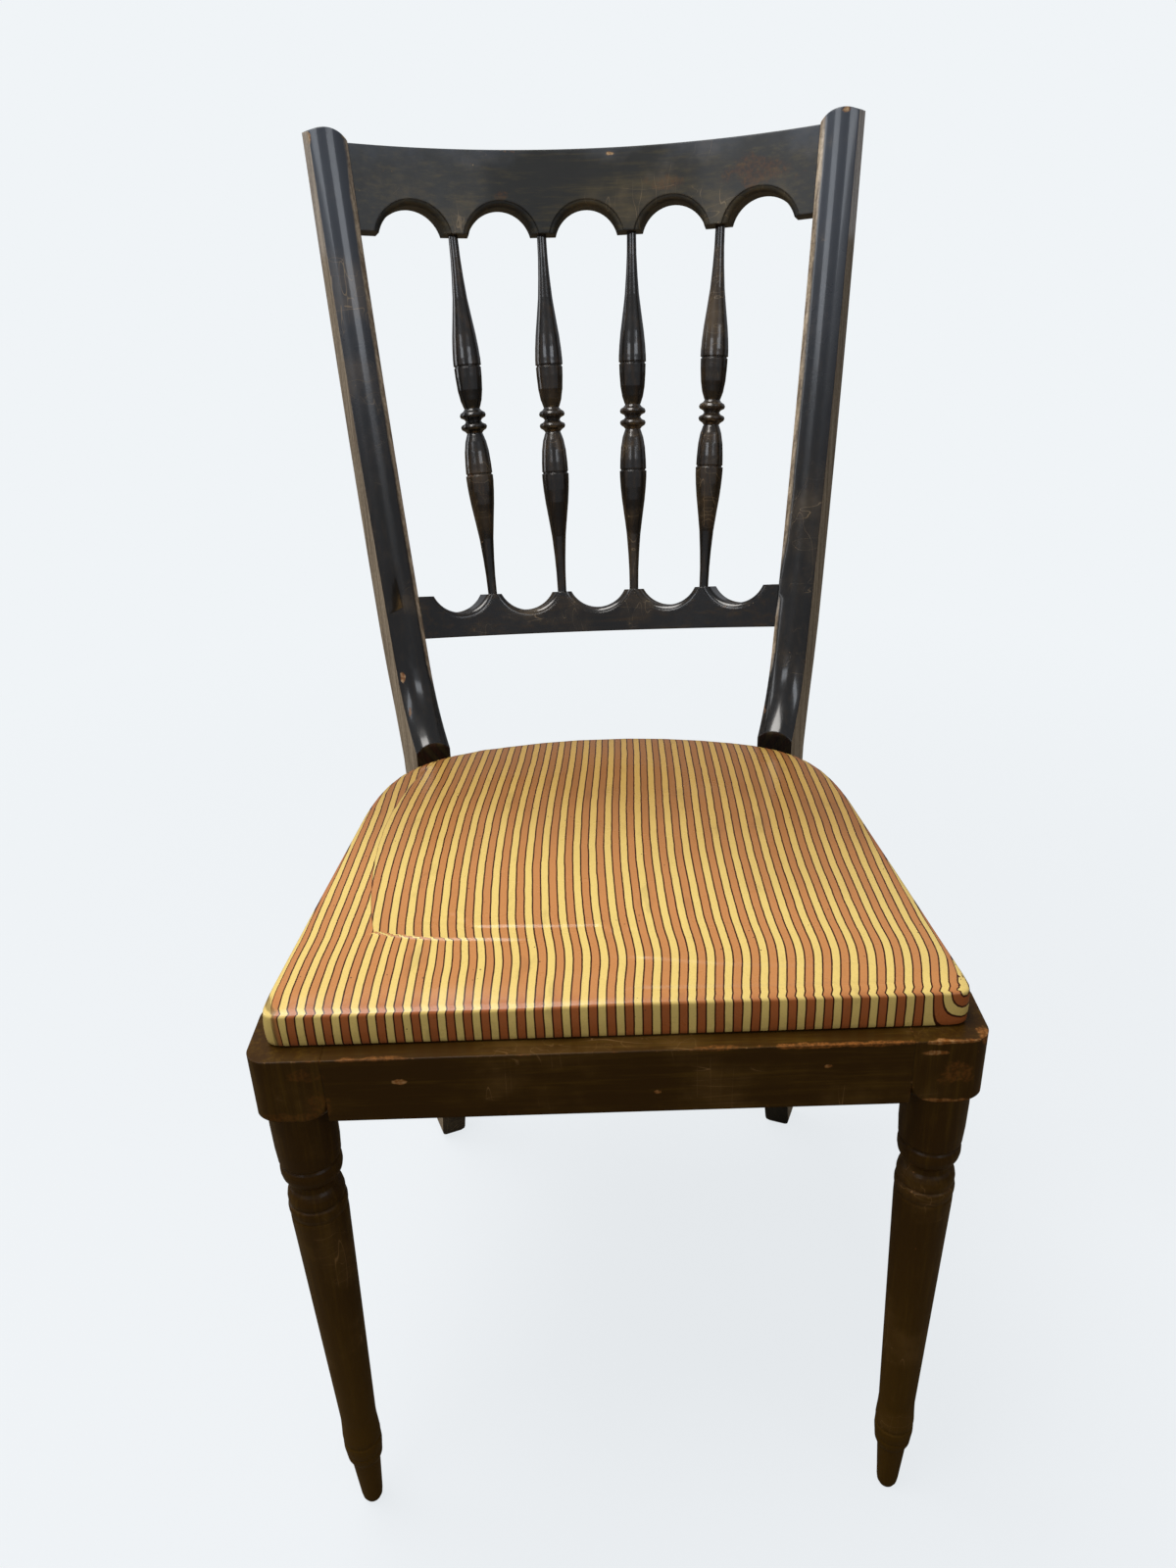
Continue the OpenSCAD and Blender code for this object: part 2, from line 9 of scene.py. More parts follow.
import bpy
import numpy as np
from mathutils import Matrix, Vector


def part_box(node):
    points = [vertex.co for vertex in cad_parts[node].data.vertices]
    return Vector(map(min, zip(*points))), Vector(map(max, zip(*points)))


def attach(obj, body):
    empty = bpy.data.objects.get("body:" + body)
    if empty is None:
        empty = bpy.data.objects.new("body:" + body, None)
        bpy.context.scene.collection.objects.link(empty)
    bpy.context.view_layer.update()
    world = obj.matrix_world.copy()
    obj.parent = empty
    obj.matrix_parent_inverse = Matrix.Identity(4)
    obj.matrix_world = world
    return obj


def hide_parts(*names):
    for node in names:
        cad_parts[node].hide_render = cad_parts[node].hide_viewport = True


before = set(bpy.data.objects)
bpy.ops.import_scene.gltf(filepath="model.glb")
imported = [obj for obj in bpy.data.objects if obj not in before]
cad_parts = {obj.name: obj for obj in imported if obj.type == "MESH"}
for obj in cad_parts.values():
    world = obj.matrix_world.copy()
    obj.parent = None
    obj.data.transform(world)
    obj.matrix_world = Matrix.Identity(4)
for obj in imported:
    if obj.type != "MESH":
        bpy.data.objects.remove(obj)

LOG = logging.getLogger("side_chair")
Point = tuple[float, float, float]
Colour = tuple[float, float, float]
Array = np.ndarray
HALF_LEG = 21.5  # from a front rail's face to the axis of the front legs, in millimetres


def mm(value: float) -> float:
    """Millimetres in metres."""
    return value / 1000.0


def rgba(colour: Sequence[float]) -> tuple[float, float, float, float]:
    """A colour with full alpha."""
    return (colour[0], colour[1], colour[2], 1.0)


def from_srgb(red: float, green: float, blue: float) -> Colour:
    """The linear colour of display values given from 0 to 255."""
    def one(value: float) -> float:
        """The linear share of one display value."""
        part = value / 255.0
        return part / 12.92 if part <= 0.04045 else ((part + 0.055) / 1.055) ** 2.4
    return (one(red), one(green), one(blue))


class Grain(Enum):
    """Which way the wood of a piece runs."""

    UP = "up"
    ACROSS = "across"
    BACK = "back"


class Value:
    """One number socket of a shader, with arithmetic that adds Math nodes."""

    def __init__(self, graph: "Graph", socket: Any) -> None:
        """Keeps the graph and the socket.

        Args:
            graph: The graph that new nodes go into.
            socket: The output socket this value comes from.
        """
        self.graph = graph
        self.socket = socket

    def math(self, operation: str, *others: Any) -> "Value":
        """A Math node on this value.

        Args:
            operation: The node's operation.
            others: Its other inputs, values or numbers.

        Returns:
            The node's result.
        """
        inputs = {i: v for i, v in enumerate((self, *others))}
        return self.graph.value("ShaderNodeMath", {"operation": operation}, inputs)

    def __add__(self, other: Any) -> "Value":
        """Sum."""
        return self.math("ADD", other)

    __radd__ = __add__

    def __mul__(self, other: Any) -> "Value":
        """Product."""
        return self.math("MULTIPLY", other)

    __rmul__ = __mul__

    def __sub__(self, other: Any) -> "Value":
        """Difference."""
        return self.math("SUBTRACT", other)

    def __rsub__(self, other: Any) -> "Value":
        """Difference from a number."""
        return self.graph.value("ShaderNodeMath", {"operation": "SUBTRACT"}, {0: other, 1: self})

    def __lt__(self, other: Any) -> "Value":
        """1 where this is less."""
        return self.math("LESS_THAN", other)

    def __abs__(self) -> "Value":
        """Absolute value."""
        return self.math("ABSOLUTE")

    def fract(self) -> "Value":
        """The part after the decimal point."""
        return self.math("FRACT")

    def max(self, other: Any) -> "Value":
        """The greater of two."""
        return self.math("MAXIMUM", other)

    def min(self, other: Any) -> "Value":
        """The lesser of two."""
        return self.math("MINIMUM", other)

    def ramp(self, low: float, high: float, start: float = 0.0, end: float = 1.0) -> "Value":
        """A smooth step.

        Args:
            low: Where the step starts.
            high: Where it ends; it may be below low.
            start: The value at low.
            end: The value at high.

        Returns:
            start below low, end above high, and a smooth curve between.
        """
        return self.graph.value(
            "ShaderNodeMapRange", {"interpolation_type": "SMOOTHSTEP", "clamp": True},
            {0: self, 1: low, 2: high, 3: start, 4: end})


class Graph:
    """The node tree of one material."""

    def __init__(self, name: str) -> None:
        """Starts an empty material.

        Args:
            name: The material's name.
        """
        self.material = bpy.data.materials.new(name)
        self.material.use_nodes = True
        self.tree = self.material.node_tree
        self.tree.nodes.clear()
        self.shared: dict[str, Any] = {}

    def add(self, kind: str, settings: dict[str, Any] | None = None,
            inputs: dict[Any, Any] | None = None) -> Any:
        """Adds any node.

        Args:
            kind: The node's type.
            settings: Its properties.
            inputs: Values or links by socket index or name.

        Returns:
            The node.
        """
        node = self.tree.nodes.new(kind)
        for key, value in (settings or {}).items():
            setattr(node, key, value)
        for key, value in (inputs or {}).items():
            socket = node.inputs[key]
            if isinstance(value, Value):
                self.tree.links.new(value.socket, socket)
            elif isinstance(value, bpy.types.NodeSocket):
                self.tree.links.new(value, socket)
            else:
                socket.default_value = value
        return node

    def value(self, kind: str, settings: dict[str, Any] | None = None,
              inputs: dict[Any, Any] | None = None, out: Any = 0) -> Value:
        """Adds a node and gives one of its outputs as a value."""
        return Value(self, self.add(kind, settings, inputs).outputs[out])

    def object_place(self) -> Any:
        """The Object coordinates socket."""
        if "place" not in self.shared:
            self.shared["place"] = self.add("ShaderNodeTexCoord")
        return self.shared["place"].outputs["Object"]

    def object_normal(self) -> Any:
        """The object-space normal socket."""
        self.object_place()
        return self.shared["place"].outputs["Normal"]

    def axes(self, vector: Any) -> tuple[Value, Value, Value]:
        """Splits a vector.

        Args:
            vector: A vector socket.

        Returns:
            Its three parts.
        """
        node = self.add("ShaderNodeSeparateXYZ", None, {0: vector})
        return tuple(Value(self, node.outputs[i]) for i in range(3))

    def stretched(self, vector: Any, scale: Point, move: Point = (0.0, 0.0, 0.0)) -> Any:
        """A vector after a Mapping node.

        Args:
            vector: A vector socket.
            scale: Scale along each axis.
            move: Shift after the scale.

        Returns:
            The mapped vector socket.
        """
        return self.add("ShaderNodeMapping", None,
                        {0: vector, 1: move, 3: scale}).outputs[0]

    def noise(self, vector: Any, scale: float, detail: float, rough: float) -> Value:
        """Noise from 0 to 1.

        Args:
            vector: Where it is read.
            scale: Cells to a metre.
            detail: Octaves.
            rough: Strength of each further octave.

        Returns:
            The noise's value.
        """
        return self.value("ShaderNodeTexNoise", None, {
            "Vector": vector, "Scale": scale, "Detail": detail, "Roughness": rough})

    def cells(self, vector: Any, scale: float) -> Value:
        """Distance in a Voronoi pattern."""
        return self.value("ShaderNodeTexVoronoi", None, {"Vector": vector, "Scale": scale},
                          "Distance")

    def mix(self, factor: Any, first: Any, second: Any) -> Any:
        """Mixes two colours.

        Args:
            factor: 0 gives the first colour, 1 the second.
            first: A colour or socket.
            second: A colour or socket.

        Returns:
            The mixed colour's socket.
        """
        node = self.add("ShaderNodeMix", {"data_type": "RGBA", "clamp_factor": True}, {0: factor})
        for index, colour in ((6, first), (7, second)):
            if isinstance(colour, tuple):
                node.inputs[index].default_value = rgba(colour)
            else:
                self.tree.links.new(colour, node.inputs[index])
        return node.outputs[2]

    def bump(self, height: Value, distance: float, strength: float = 1.0,
             normal: Any = None) -> Any:
        """A normal from a height.

        Args:
            height: Height in units of distance.
            distance: Metres to a unit of height.
            strength: How much of it shows.
            normal: A normal socket it adds to.

        Returns:
            The normal's socket.
        """
        inputs = {"Height": height, "Distance": distance, "Strength": strength}
        if normal is not None:
            inputs["Normal"] = normal
        return self.add("ShaderNodeBump", None, inputs).outputs[0]

    def surface(self, settings: dict[str, Any]) -> bpy.types.Material:
        """Closes the tree with one Principled shader.

        Args:
            settings: Its sockets' values or links.

        Returns:
            The finished material.
        """
        shader = self.add("ShaderNodeBsdfPrincipled", None, settings)
        self.add("ShaderNodeOutputMaterial", None, {0: shader.outputs[0]})
        return self.material


@dataclass(frozen=True)
class Mark:
    """A patch worn or knocked through the finish: middle and half sizes in metres."""

    place: Point
    size: Point
    strength: float = 1.0
    pale: float = 0.0


@dataclass(frozen=True)
class DarkFinish:
    """Old dark lacquer over wood, rubbed and chipped through at edges."""

    name: str
    grain: Grain
    base: Colour = from_srgb(28, 26, 24)
    mottle: Colour = from_srgb(66, 49, 22)
    rub: Colour = from_srgb(120, 74, 34)
    pale: Colour = from_srgb(196, 170, 132)
    mottling: float = 0.5
    edge_wear: float = 0.5
    scratching: float = 0.5
    chipping: float = 0.5
    gloss: float = 0.2
    coat: float = 0.7
    specular: float = 0.5
    # The colour mixed in by height, between the two heights below. On the posts and crest it is a
    # painted bluish sheen of reflected light, with some dust; on the legs it is a lighter olive
    # brown towards the floor.
    height_tint: Colour = from_srgb(70, 77, 88)
    height_tint_from: float = 9.0
    height_tint_to: float = 10.0
    flank: Point | None = None
    marks: tuple[Mark, ...] = ()

    GRAIN_SCALE: ClassVar[dict[Grain, Point]] = {
        Grain.UP: (1.0, 1.0, 0.05), Grain.ACROSS: (0.05, 1.0, 1.0), Grain.BACK: (1.0, 0.05, 1.0)}

    def _marked(self, graph: Graph, place: Any, rough: Value) -> tuple[Value, Value]:
        """Masks of the single patches.

        Args:
            graph: The material's graph.
            place: Object coordinates.
            rough: Noise that breaks the patches' outlines.

        Returns:
            How worn each point is, and how much of that is down to pale wood.
        """
        worn: Any = None
        pale: Any = None
        for mark in self.marks:
            scale = tuple(1.0 / s for s in mark.size)
            move = tuple(-p / s for p, s in zip(mark.place, mark.size))
            near = graph.value("ShaderNodeVectorMath", {"operation": "LENGTH"},
                               {0: graph.stretched(place, scale, move)}, out=1)
            mask = (near + (rough - 0.5) * 2.6).ramp(1.0, 0.6) * mark.strength
            worn = mask if worn is None else worn.max(mask)
            if mark.pale > 0.0:
                part = mask * mark.pale
                pale = part if pale is None else pale.max(part)
        zero = rough * 0.0
        return (zero if worn is None else worn), (zero if pale is None else pale)

    def make(self) -> bpy.types.Material:
        """Builds the finish.

        Colour goes from the dark base through brown mottling to bare wood, by how worn a
        point is: near an edge, in a patch, on a chip or along a scratch.

        Returns:
            The material.
        """
        g = Graph(self.name)
        place = g.object_place()
        along = g.stretched(place, self.GRAIN_SCALE[self.grain])
        broad = g.noise(place, 16.0, 4.0, 0.6)
        blotch = g.noise(place, 75.0, 5.0, 0.65)
        fine = g.noise(place, 420.0, 3.0, 0.6)
        streak = g.noise(along, 260.0, 4.0, 0.65)
        rounded = g.add("ShaderNodeBevel", {"samples": 6}, {"Radius": mm(1.6)}).outputs[0]
        true_normal = g.add("ShaderNodeNewGeometry").outputs["Normal"]
        facing = g.value("ShaderNodeVectorMath", {"operation": "DOT_PRODUCT"},
                         {0: rounded, 1: true_normal}, out=1)
        edge = facing.ramp(0.985, 0.86)
        worn_patch, pale_patch = self._marked(g, place, blotch)
        edge_worn = edge * (blotch * 0.55 + broad * 0.45).ramp(
            0.62 - 0.18 * self.edge_wear, 0.72 - 0.18 * self.edge_wear)
        scratch = self._scratches(g, place, broad) * self.scratching
        chip = self._chips(g, place, blotch, edge) * self.chipping
        worn = edge_worn.max(worn_patch)
        brown = (broad * 0.6 + streak * 0.4).ramp(0.42, 0.66) * self.mottling
        colour = g.mix(brown, self.base, self.mottle)
        colour = g.mix(streak.ramp(0.5, 0.72) * 0.35, colour, self.mottle)
        _, _, up = g.axes(place)
        # Tint by height: on the posts and crest a painted bluish sheen with some dust.
        height_tint_share = (up + (broad - 0.5) * 0.1).ramp(self.height_tint_from, self.height_tint_to)
        colour = g.mix(height_tint_share * 0.75, colour, self.height_tint)
        bare = g.mix((streak * 0.5 + fine * 0.5).ramp(0.4, 0.65), self.rub, self.pale)
        colour = g.mix(worn * (fine.ramp(0.40, 0.62) * 0.75 + 0.25), colour, self.rub)
        colour = g.mix(pale_patch.max(chip), colour, bare)
        colour = g.mix(scratch * 0.55, colour, self.pale)
        rough = blotch * 0.22 + height_tint_share * 0.10 + (self.gloss - 0.08)
        rough = rough + worn.max(chip) * 0.3
        colour = g.mix(broad.ramp(0.5, 0.8) * 0.12, colour, self.pale)
        if self.flank is not None:
            colour, rough = self._flanked(g, colour, rough, streak, fine, edge)
        height = (streak * 0.30 + fine * 0.12 + blotch * 0.25 - worn * 0.5 - chip * 1.2
                  - scratch * 0.5)
        normal = g.bump(height, mm(0.22), 0.55, rounded)
        return g.surface({"Base Color": colour, "Roughness": rough, "Normal": normal,
                          "Coat Weight": (1.0 - worn.max(chip)) * self.coat,
                          "Specular IOR Level": self.specular, "Coat Roughness": 0.1})

    def _flanked(self, g: Graph, colour: Any, rough: Value, streak: Value, fine: Value,
                 edge: Value) -> tuple[Any, Value]:
        """Greys the posts' outer side faces, picked by their normal: streaky pale grey-beige and
        rough.

        Args:
            g: The material's graph.
            colour: The colour so far.
            rough: The roughness so far.
            streak: Noise along the grain.
            fine: Fine noise.
            edge: How near an edge is.

        Returns:
            The colour and roughness with the side faces in.
        """
        x, y, _ = g.axes(g.object_normal())
        side = (abs(x) * self.flank[0] + y * self.flank[1]).ramp(0.93, 0.965)
        grey = g.mix((streak * 0.7 + fine * 0.3).ramp(0.36, 0.66), from_srgb(112, 96, 78),
                     from_srgb(198, 180, 154))
        grey = g.mix(edge * 0.6, grey, self.pale)
        return g.mix(side, colour, grey), rough * (1.0 - side) + side * 0.62

    @staticmethod
    def _scratches(g: Graph, place: Any, gate: Value) -> Value:
        """Thin lines in two directions.

        A line is where a stretched noise crosses one half, kept only where a broad noise
        is high.

        Args:
            g: The material's graph.
            place: Object coordinates.
            gate: Broad noise.

        Returns:
            A mask of the lines.
        """
        lines: Any = None
        for turn, scale in ((0.5, (1.0, 1.0, 0.08)), (-0.9, (0.1, 1.0, 1.0))):
            turned = g.add("ShaderNodeMapping", None,
                           {0: place, 2: (turn * 0.4, turn, turn * 0.7), 3: scale}).outputs[0]
            drift = g.noise(turned, 95.0, 1.0, 0.4)
            line = abs(drift - 0.5).ramp(0.0045, 0.0015)
            lines = line if lines is None else lines.max(line)
        return lines * gate.ramp(0.52, 0.62)

    @staticmethod
    def _chips(g: Graph, place: Any, gate: Value, edge: Value) -> Value:
        """Small knocks, thickest near edges.

        Args:
            g: The material's graph.
            place: Object coordinates.
            gate: Blotchy noise.
            edge: How near an edge is.

        Returns:
            A mask of the knocks.
        """
        spot = g.cells(place, 240.0).ramp(0.24, 0.14)
        return spot * (gate + edge * 0.16).ramp(0.64, 0.68)


@dataclass(frozen=True)
class BareWood:
    """Plain unfinished wood of the hidden pieces."""

    name: str
    grain: Grain
    light: Colour = from_srgb(196, 160, 112)
    dark: Colour = from_srgb(148, 108, 66)

    def make(self) -> bpy.types.Material:
        """Builds the finish from streaks along the grain.

        Returns:
            The material.
        """
        g = Graph(self.name)
        along = g.stretched(g.object_place(), DarkFinish.GRAIN_SCALE[self.grain])
        streak = g.noise(along, 180.0, 4.0, 0.6)
        ring = g.noise(along, 40.0, 2.0, 0.5)
        colour = g.mix((streak * 0.6 + ring * 0.4).ramp(0.35, 0.65), self.light, self.dark)
        return g.surface({"Base Color": colour, "Roughness": streak * 0.15 + 0.58,
                          "Normal": g.bump(streak, mm(0.25), 0.6)})


@dataclass(frozen=True)
class DullSteel:
    """Plain steel with a little rust, for screws and staples."""

    name: str

    def make(self) -> bpy.types.Material:
        """Builds the finish.

        Returns:
            The material.
        """
        g = Graph(self.name)
        place = g.object_place()
        rust = g.noise(place, 380.0, 4.0, 0.6).ramp(0.5, 0.64)
        colour = g.mix(rust, from_srgb(150, 150, 152), from_srgb(104, 62, 34))
        return g.surface({"Base Color": colour, "Metallic": 1.0 - rust * 0.8,
                          "Roughness": rust * 0.4 + 0.32,
                          "Normal": g.bump(rust, mm(0.08), 0.5)})


def dress(node: str, material: bpy.types.Material) -> None:
    """Puts a finish on a node of the frame.

    Args:
        node: The node's name.
        material: Its finish.
    """
    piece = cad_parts[node]
    if not piece.material_slots:
        piece.data.materials.append(material)
    for holder in piece.material_slots:
        holder.material = material
    LOG.info("dressed %s", node)


@dataclass(frozen=True)
class Lamp:
    """One soft rectangular lamp; its light is how bright it looks, white paper being 1."""

    name: str
    place: Point
    aim: Point
    size: tuple[float, float]
    light: float
    colour: Colour = (1.0, 1.0, 1.0)

    def hang(self) -> None:
        """Adds the lamp. Its power is its light times pi times its area."""
        data = bpy.data.lights.new(self.name, "AREA")
        data.shape = "RECTANGLE"
        data.size, data.size_y = self.size
        data.energy = self.light * math.pi * self.size[0] * self.size[1]
        data.color = self.colour
        lamp = bpy.data.objects.new(self.name, data)
        lamp.location = self.place
        lamp.rotation_mode = "QUATERNION"
        lamp.rotation_quaternion = (Vector(self.aim) - Vector(self.place)).to_track_quat("-Z", "Y")
        bpy.context.collection.objects.link(lamp)


@dataclass
class Studio:
    """Pale floor, soft lamps and the camera."""

    eye: Point = (-0.005, -0.53465, 0.83897)
    down: float = 26.546
    turn: float = 0.585
    tilt: float = -2.198
    lens: float = 27.0
    floor_size: float = 40.0
    floor_white: Colour = from_srgb(240, 242, 246)
    floor_bounce: Colour = from_srgb(112, 100, 82)
    backdrop: Colour = from_srgb(240, 244, 247)
    surround: Colour = from_srgb(232, 236, 244)
    surround_light: float = 0.28
    lamps: tuple[Lamp, ...] = (
        Lamp("overhead", (-0.55, -0.12, 2.45), (0.0, -0.05, 0.45), (1.6, 1.1), 7.4,
             (1.0, 0.97, 0.93)),
        Lamp("left_window", (-2.3, 0.45, 1.15), (0.0, 0.1, 0.6), (0.9, 1.3), 2.6,
             (0.95, 0.97, 1.0)),
        Lamp("front_right", (1.5, -2.05, 1.92), (0.0, 0.2, 0.75), (1.4, 0.42), 3.3,
             (0.88, 0.93, 1.0)),
        Lamp("front_left", (-1.5, -2.05, 1.92), (0.0, 0.2, 0.75), (1.2, 0.42), 3.3,
             (0.88, 0.93, 1.0)),
    )

    def build(self, leg_axis_y: float) -> None:
        """Makes the camera, the floor, the lamps and the world.

        Args:
            leg_axis_y: Where the front legs stand, front to back.
        """
        self._camera(leg_axis_y)
        self._floor()
        for lamp in self.lamps:
            lamp.hang()
        self._world()
        settings = bpy.context.scene.view_settings
        settings.view_transform = "Standard"

    def _camera(self, leg_axis_y: float) -> None:
        """Places the camera above and in front of the seat."""
        data = bpy.data.cameras.new("camera")
        data.lens = self.lens
        data.sensor_width = 36.0
        data.sensor_fit = "AUTO"
        data.clip_start, data.clip_end = 0.01, 100.0
        camera = bpy.data.objects.new("camera", data)
        place = Vector(self.eye) + Vector((0.0, leg_axis_y, 0.0))
        spin = (Matrix.Rotation(math.radians(self.turn), 4, "Z")
                @ Matrix.Rotation(math.radians(90.0 - self.down), 4, "X")
                @ Matrix.Rotation(math.radians(self.tilt), 4, "Z"))
        camera.matrix_world = Matrix.Translation(place) @ spin
        bpy.context.collection.objects.link(camera)
        bpy.context.scene.camera = camera

    def _floor(self) -> None:
        """A wide floor that fades into the backdrop away from the object.

        The camera sees pale paint under a glow of the backdrop's colour, whose share rises
        with the distance from the middle. Other rays see a plainer, darker floor.
        """
        half = self.floor_size / 2.0
        mesh = bpy.data.meshes.new("floor")
        mesh.from_pydata([(-half, -half, 0.0), (half, -half, 0.0), (half, half, 0.0),
                          (-half, half, 0.0)], [], [(0, 1, 2, 3)])
        floor = bpy.data.objects.new("floor", mesh)
        bpy.context.collection.objects.link(floor)
        g = Graph("floor_paint")
        seen = g.value("ShaderNodeLightPath", out="Is Camera Ray")
        away = g.value("ShaderNodeVectorMath", {"operation": "LENGTH"},
                       {0: g.object_place()}, out=1)
        paint = g.mix(seen, self.floor_bounce, self.floor_white)
        matt = g.add("ShaderNodeBsdfDiffuse", None, {0: paint})
        glow = g.add("ShaderNodeEmission", None, {0: rgba(self.backdrop), 1: 1.0})
        mixed = g.add("ShaderNodeMixShader", None,
                      {0: seen * away.ramp(0.3, 1.8, 0.86, 1.0), 1: matt.outputs[0],
                       2: glow.outputs[0]})
        g.add("ShaderNodeOutputMaterial", None, {0: mixed.outputs[0]})
        mesh.materials.append(g.material)

    def _world(self) -> None:
        """An even surround, which the camera sees as the backdrop."""
        world = bpy.data.worlds.new("surround")
        bpy.context.scene.world = world
        world.use_nodes = True
        tree = world.node_tree
        tree.nodes.clear()
        path = tree.nodes.new("ShaderNodeLightPath")
        lit = tree.nodes.new("ShaderNodeBackground")
        lit.inputs[0].default_value = rgba(self.surround)
        lit.inputs[1].default_value = self.surround_light
        shown = tree.nodes.new("ShaderNodeBackground")
        shown.inputs[0].default_value = rgba(self.backdrop)
        shown.inputs[1].default_value = 1.0
        mixed = tree.nodes.new("ShaderNodeMixShader")
        out = tree.nodes.new("ShaderNodeOutputWorld")
        tree.links.new(path.outputs["Is Camera Ray"], mixed.inputs[0])
        tree.links.new(lit.outputs[0], mixed.inputs[1])
        tree.links.new(shown.outputs[0], mixed.inputs[2])
        tree.links.new(mixed.outputs[0], out.inputs[0])


@dataclass
class WoodFrame:
    """Legs, posts, rails and spindles: finishes on the frame's own nodes."""

    leg_axis_y: float

    def _mark(self, place: Point, size: Point, strength: float = 1.0,
              pale: float = 0.0) -> Mark:
        """A mark at a place in millimetres, taken front to back from the front legs' axis."""
        x, y, z = place
        return Mark((mm(x), mm(y) + self.leg_axis_y, mm(z)),
                    tuple(mm(value) for value in size), strength, pale)

    def _low_marks(self) -> tuple[Mark, ...]:
        """Wear on the legs' blocks and the front rail."""
        m = self._mark
        return (
            m((-122, -21.5, 401), (3.6, 4.0, 1.8), 1.0, 1.0),
            m((-174, -21.5, 407), (10.0, 5.0, 6.0), 0.25),
            m((-168, -21.5, 386), (8.0, 5.0, 11.0), 0.25),
            m((-186, -21.5, 377), (22.0, 4.0, 4.0), 0.25),
            m((120, -21.5, 417), (46.0, 3.0, 2.0), 0.9, 0.1),
            m((55, -21.5, 417), (25.0, 3.0, 1.5), 0.6, 0.05),
            m((-130, -21.5, 417), (26.0, 3.0, 1.3), 0.6, 0.15),
            m((204, -16, 415), (5.0, 7.0, 4.5), 1.0, 0.3),
            m((188, -21.5, 416.5), (18.0, 3.0, 1.6), 0.8, 0.7),
            m((176, -21.5, 409.5), (9.0, 3.0, 1.6), 0.9, 0.7),
            m((190, -21.5, 396), (9.0, 4.0, 9.0), 0.4, 0.05),
            m((181, -21.5, 374.5), (16.0, 5.0, 2.6), 0.8, 0.35),
            m((206, -12, 378), (4.0, 12.0, 5.0), 0.7, 0.1),
            m((117, -21.5, 402.5), (2.4, 3.0, 1.4), 1.0, 0.6),
            m((22, -21.5, 388), (2.4, 3.0, 1.4), 1.0, 0.4),
        )

    def _post_marks(self) -> tuple[Mark, ...]:
        """Knocks on the posts; the pale streak low on the right post's inner edge is chips and a
        painted glint.
        """
        m = self._mark
        return (
            m((-161, 358, 495), (2.0, 9.0, 5.0), 1.0, 1.0),
            m((-156, 344, 470), (1.6, 7.0, 5.0), 0.8, 0.6),
            # Chips and a painted glint along the right post's inner edge above the seat.
            m((132, 350, 468), (1.6, 6.0, 13.0), 0.9, 0.6),
            m((-203, 455, 884), (4.0, 12.0, 5.0), 1.0, 0.9),
            m((192, 455, 889), (5.0, 12.0, 3.0), 1.0, 1.0),
        )

    def _back_marks(self) -> tuple[Mark, ...]:
        """Rubbed places on the crest and the rail under the spindles."""
        m = self._mark
        return (
            m((128, 468, 853), (34.0, 18.0, 12.0), 0.3),
            m((60, 488, 846), (18.0, 14.0, 6.0), 0.25),
            m((-64, 488, 842), (7.0, 14.0, 5.0), 0.25),
            m((-60, 484, 872), (16.0, 14.0, 2.2), 0.9, 0.8),
            m((20, 490, 868), (5.0, 14.0, 1.6), 1.0, 1.0),
        )

    def dress(self) -> None:
        """Gives every wooden node its finish."""
        low = {"base": from_srgb(60, 38, 8), "mottle": from_srgb(92, 66, 18),
               "coat": 0.06, "specular": 0.16, "gloss": 0.34, "rub": from_srgb(140, 84, 30),
               "pale": from_srgb(188, 144, 94), "marks": self._low_marks()}
        # The legs' tint by height turns them a lighter olive brown towards the floor.
        legs = DarkFinish("leg_finish", Grain.UP, height_tint=from_srgb(84, 58, 8),
                          height_tint_from=mm(340), height_tint_to=mm(60), **low).make()
        rails = DarkFinish("seat_rail_finish", Grain.ACROSS, **low).make()
        sides = DarkFinish("side_rail_finish", Grain.BACK, **low).make()
        # The crest's grey base, lighter than the posts', is partly a painted sheen of reflected
        # light; its tint by height is a painted bluish sheen along the top edge.
        back = DarkFinish("back_rail_finish", Grain.ACROSS, base=from_srgb(46, 47, 46),
                          mottle=from_srgb(84, 76, 54), mottling=0.6, height_tint_from=mm(855),
                          height_tint_to=mm(885), coat=0.12, gloss=0.38, specular=0.35,
                          edge_wear=0.1, marks=self._back_marks()).make()
        lower = DarkFinish("lower_rail_finish", Grain.ACROSS, base=from_srgb(22, 21, 21),
                           mottling=0.3, edge_wear=0.3).make()
        # The posts' tint by height, from 600 to 880 mm, is a painted bluish sheen of reflected
        # light with some dust.
        posts = DarkFinish("post_finish", Grain.UP, base=from_srgb(22, 21, 20),
                           mottle=from_srgb(50, 42, 32), mottling=0.35, height_tint_from=mm(600),
                           height_tint_to=mm(880),
                           flank=(0.927, -0.375, 0.0), marks=self._post_marks()).make()
        turned = DarkFinish("spindle_finish", Grain.UP, mottle=from_srgb(70, 54, 36)).make()
        plan = {"front_leg_left": legs, "front_leg_right": legs, "front_rail": rails,
                "back_seat_rail": rails, "side_rail_left": sides, "side_rail_right": sides,
                "crest_rail": back, "lower_back_rail": lower, "back_post_left": posts,
                "back_post_right": posts}
        plan.update({f"spindle_{i}": turned for i in range(1, 5)})
        for node, material in plan.items():
            dress(node, material)


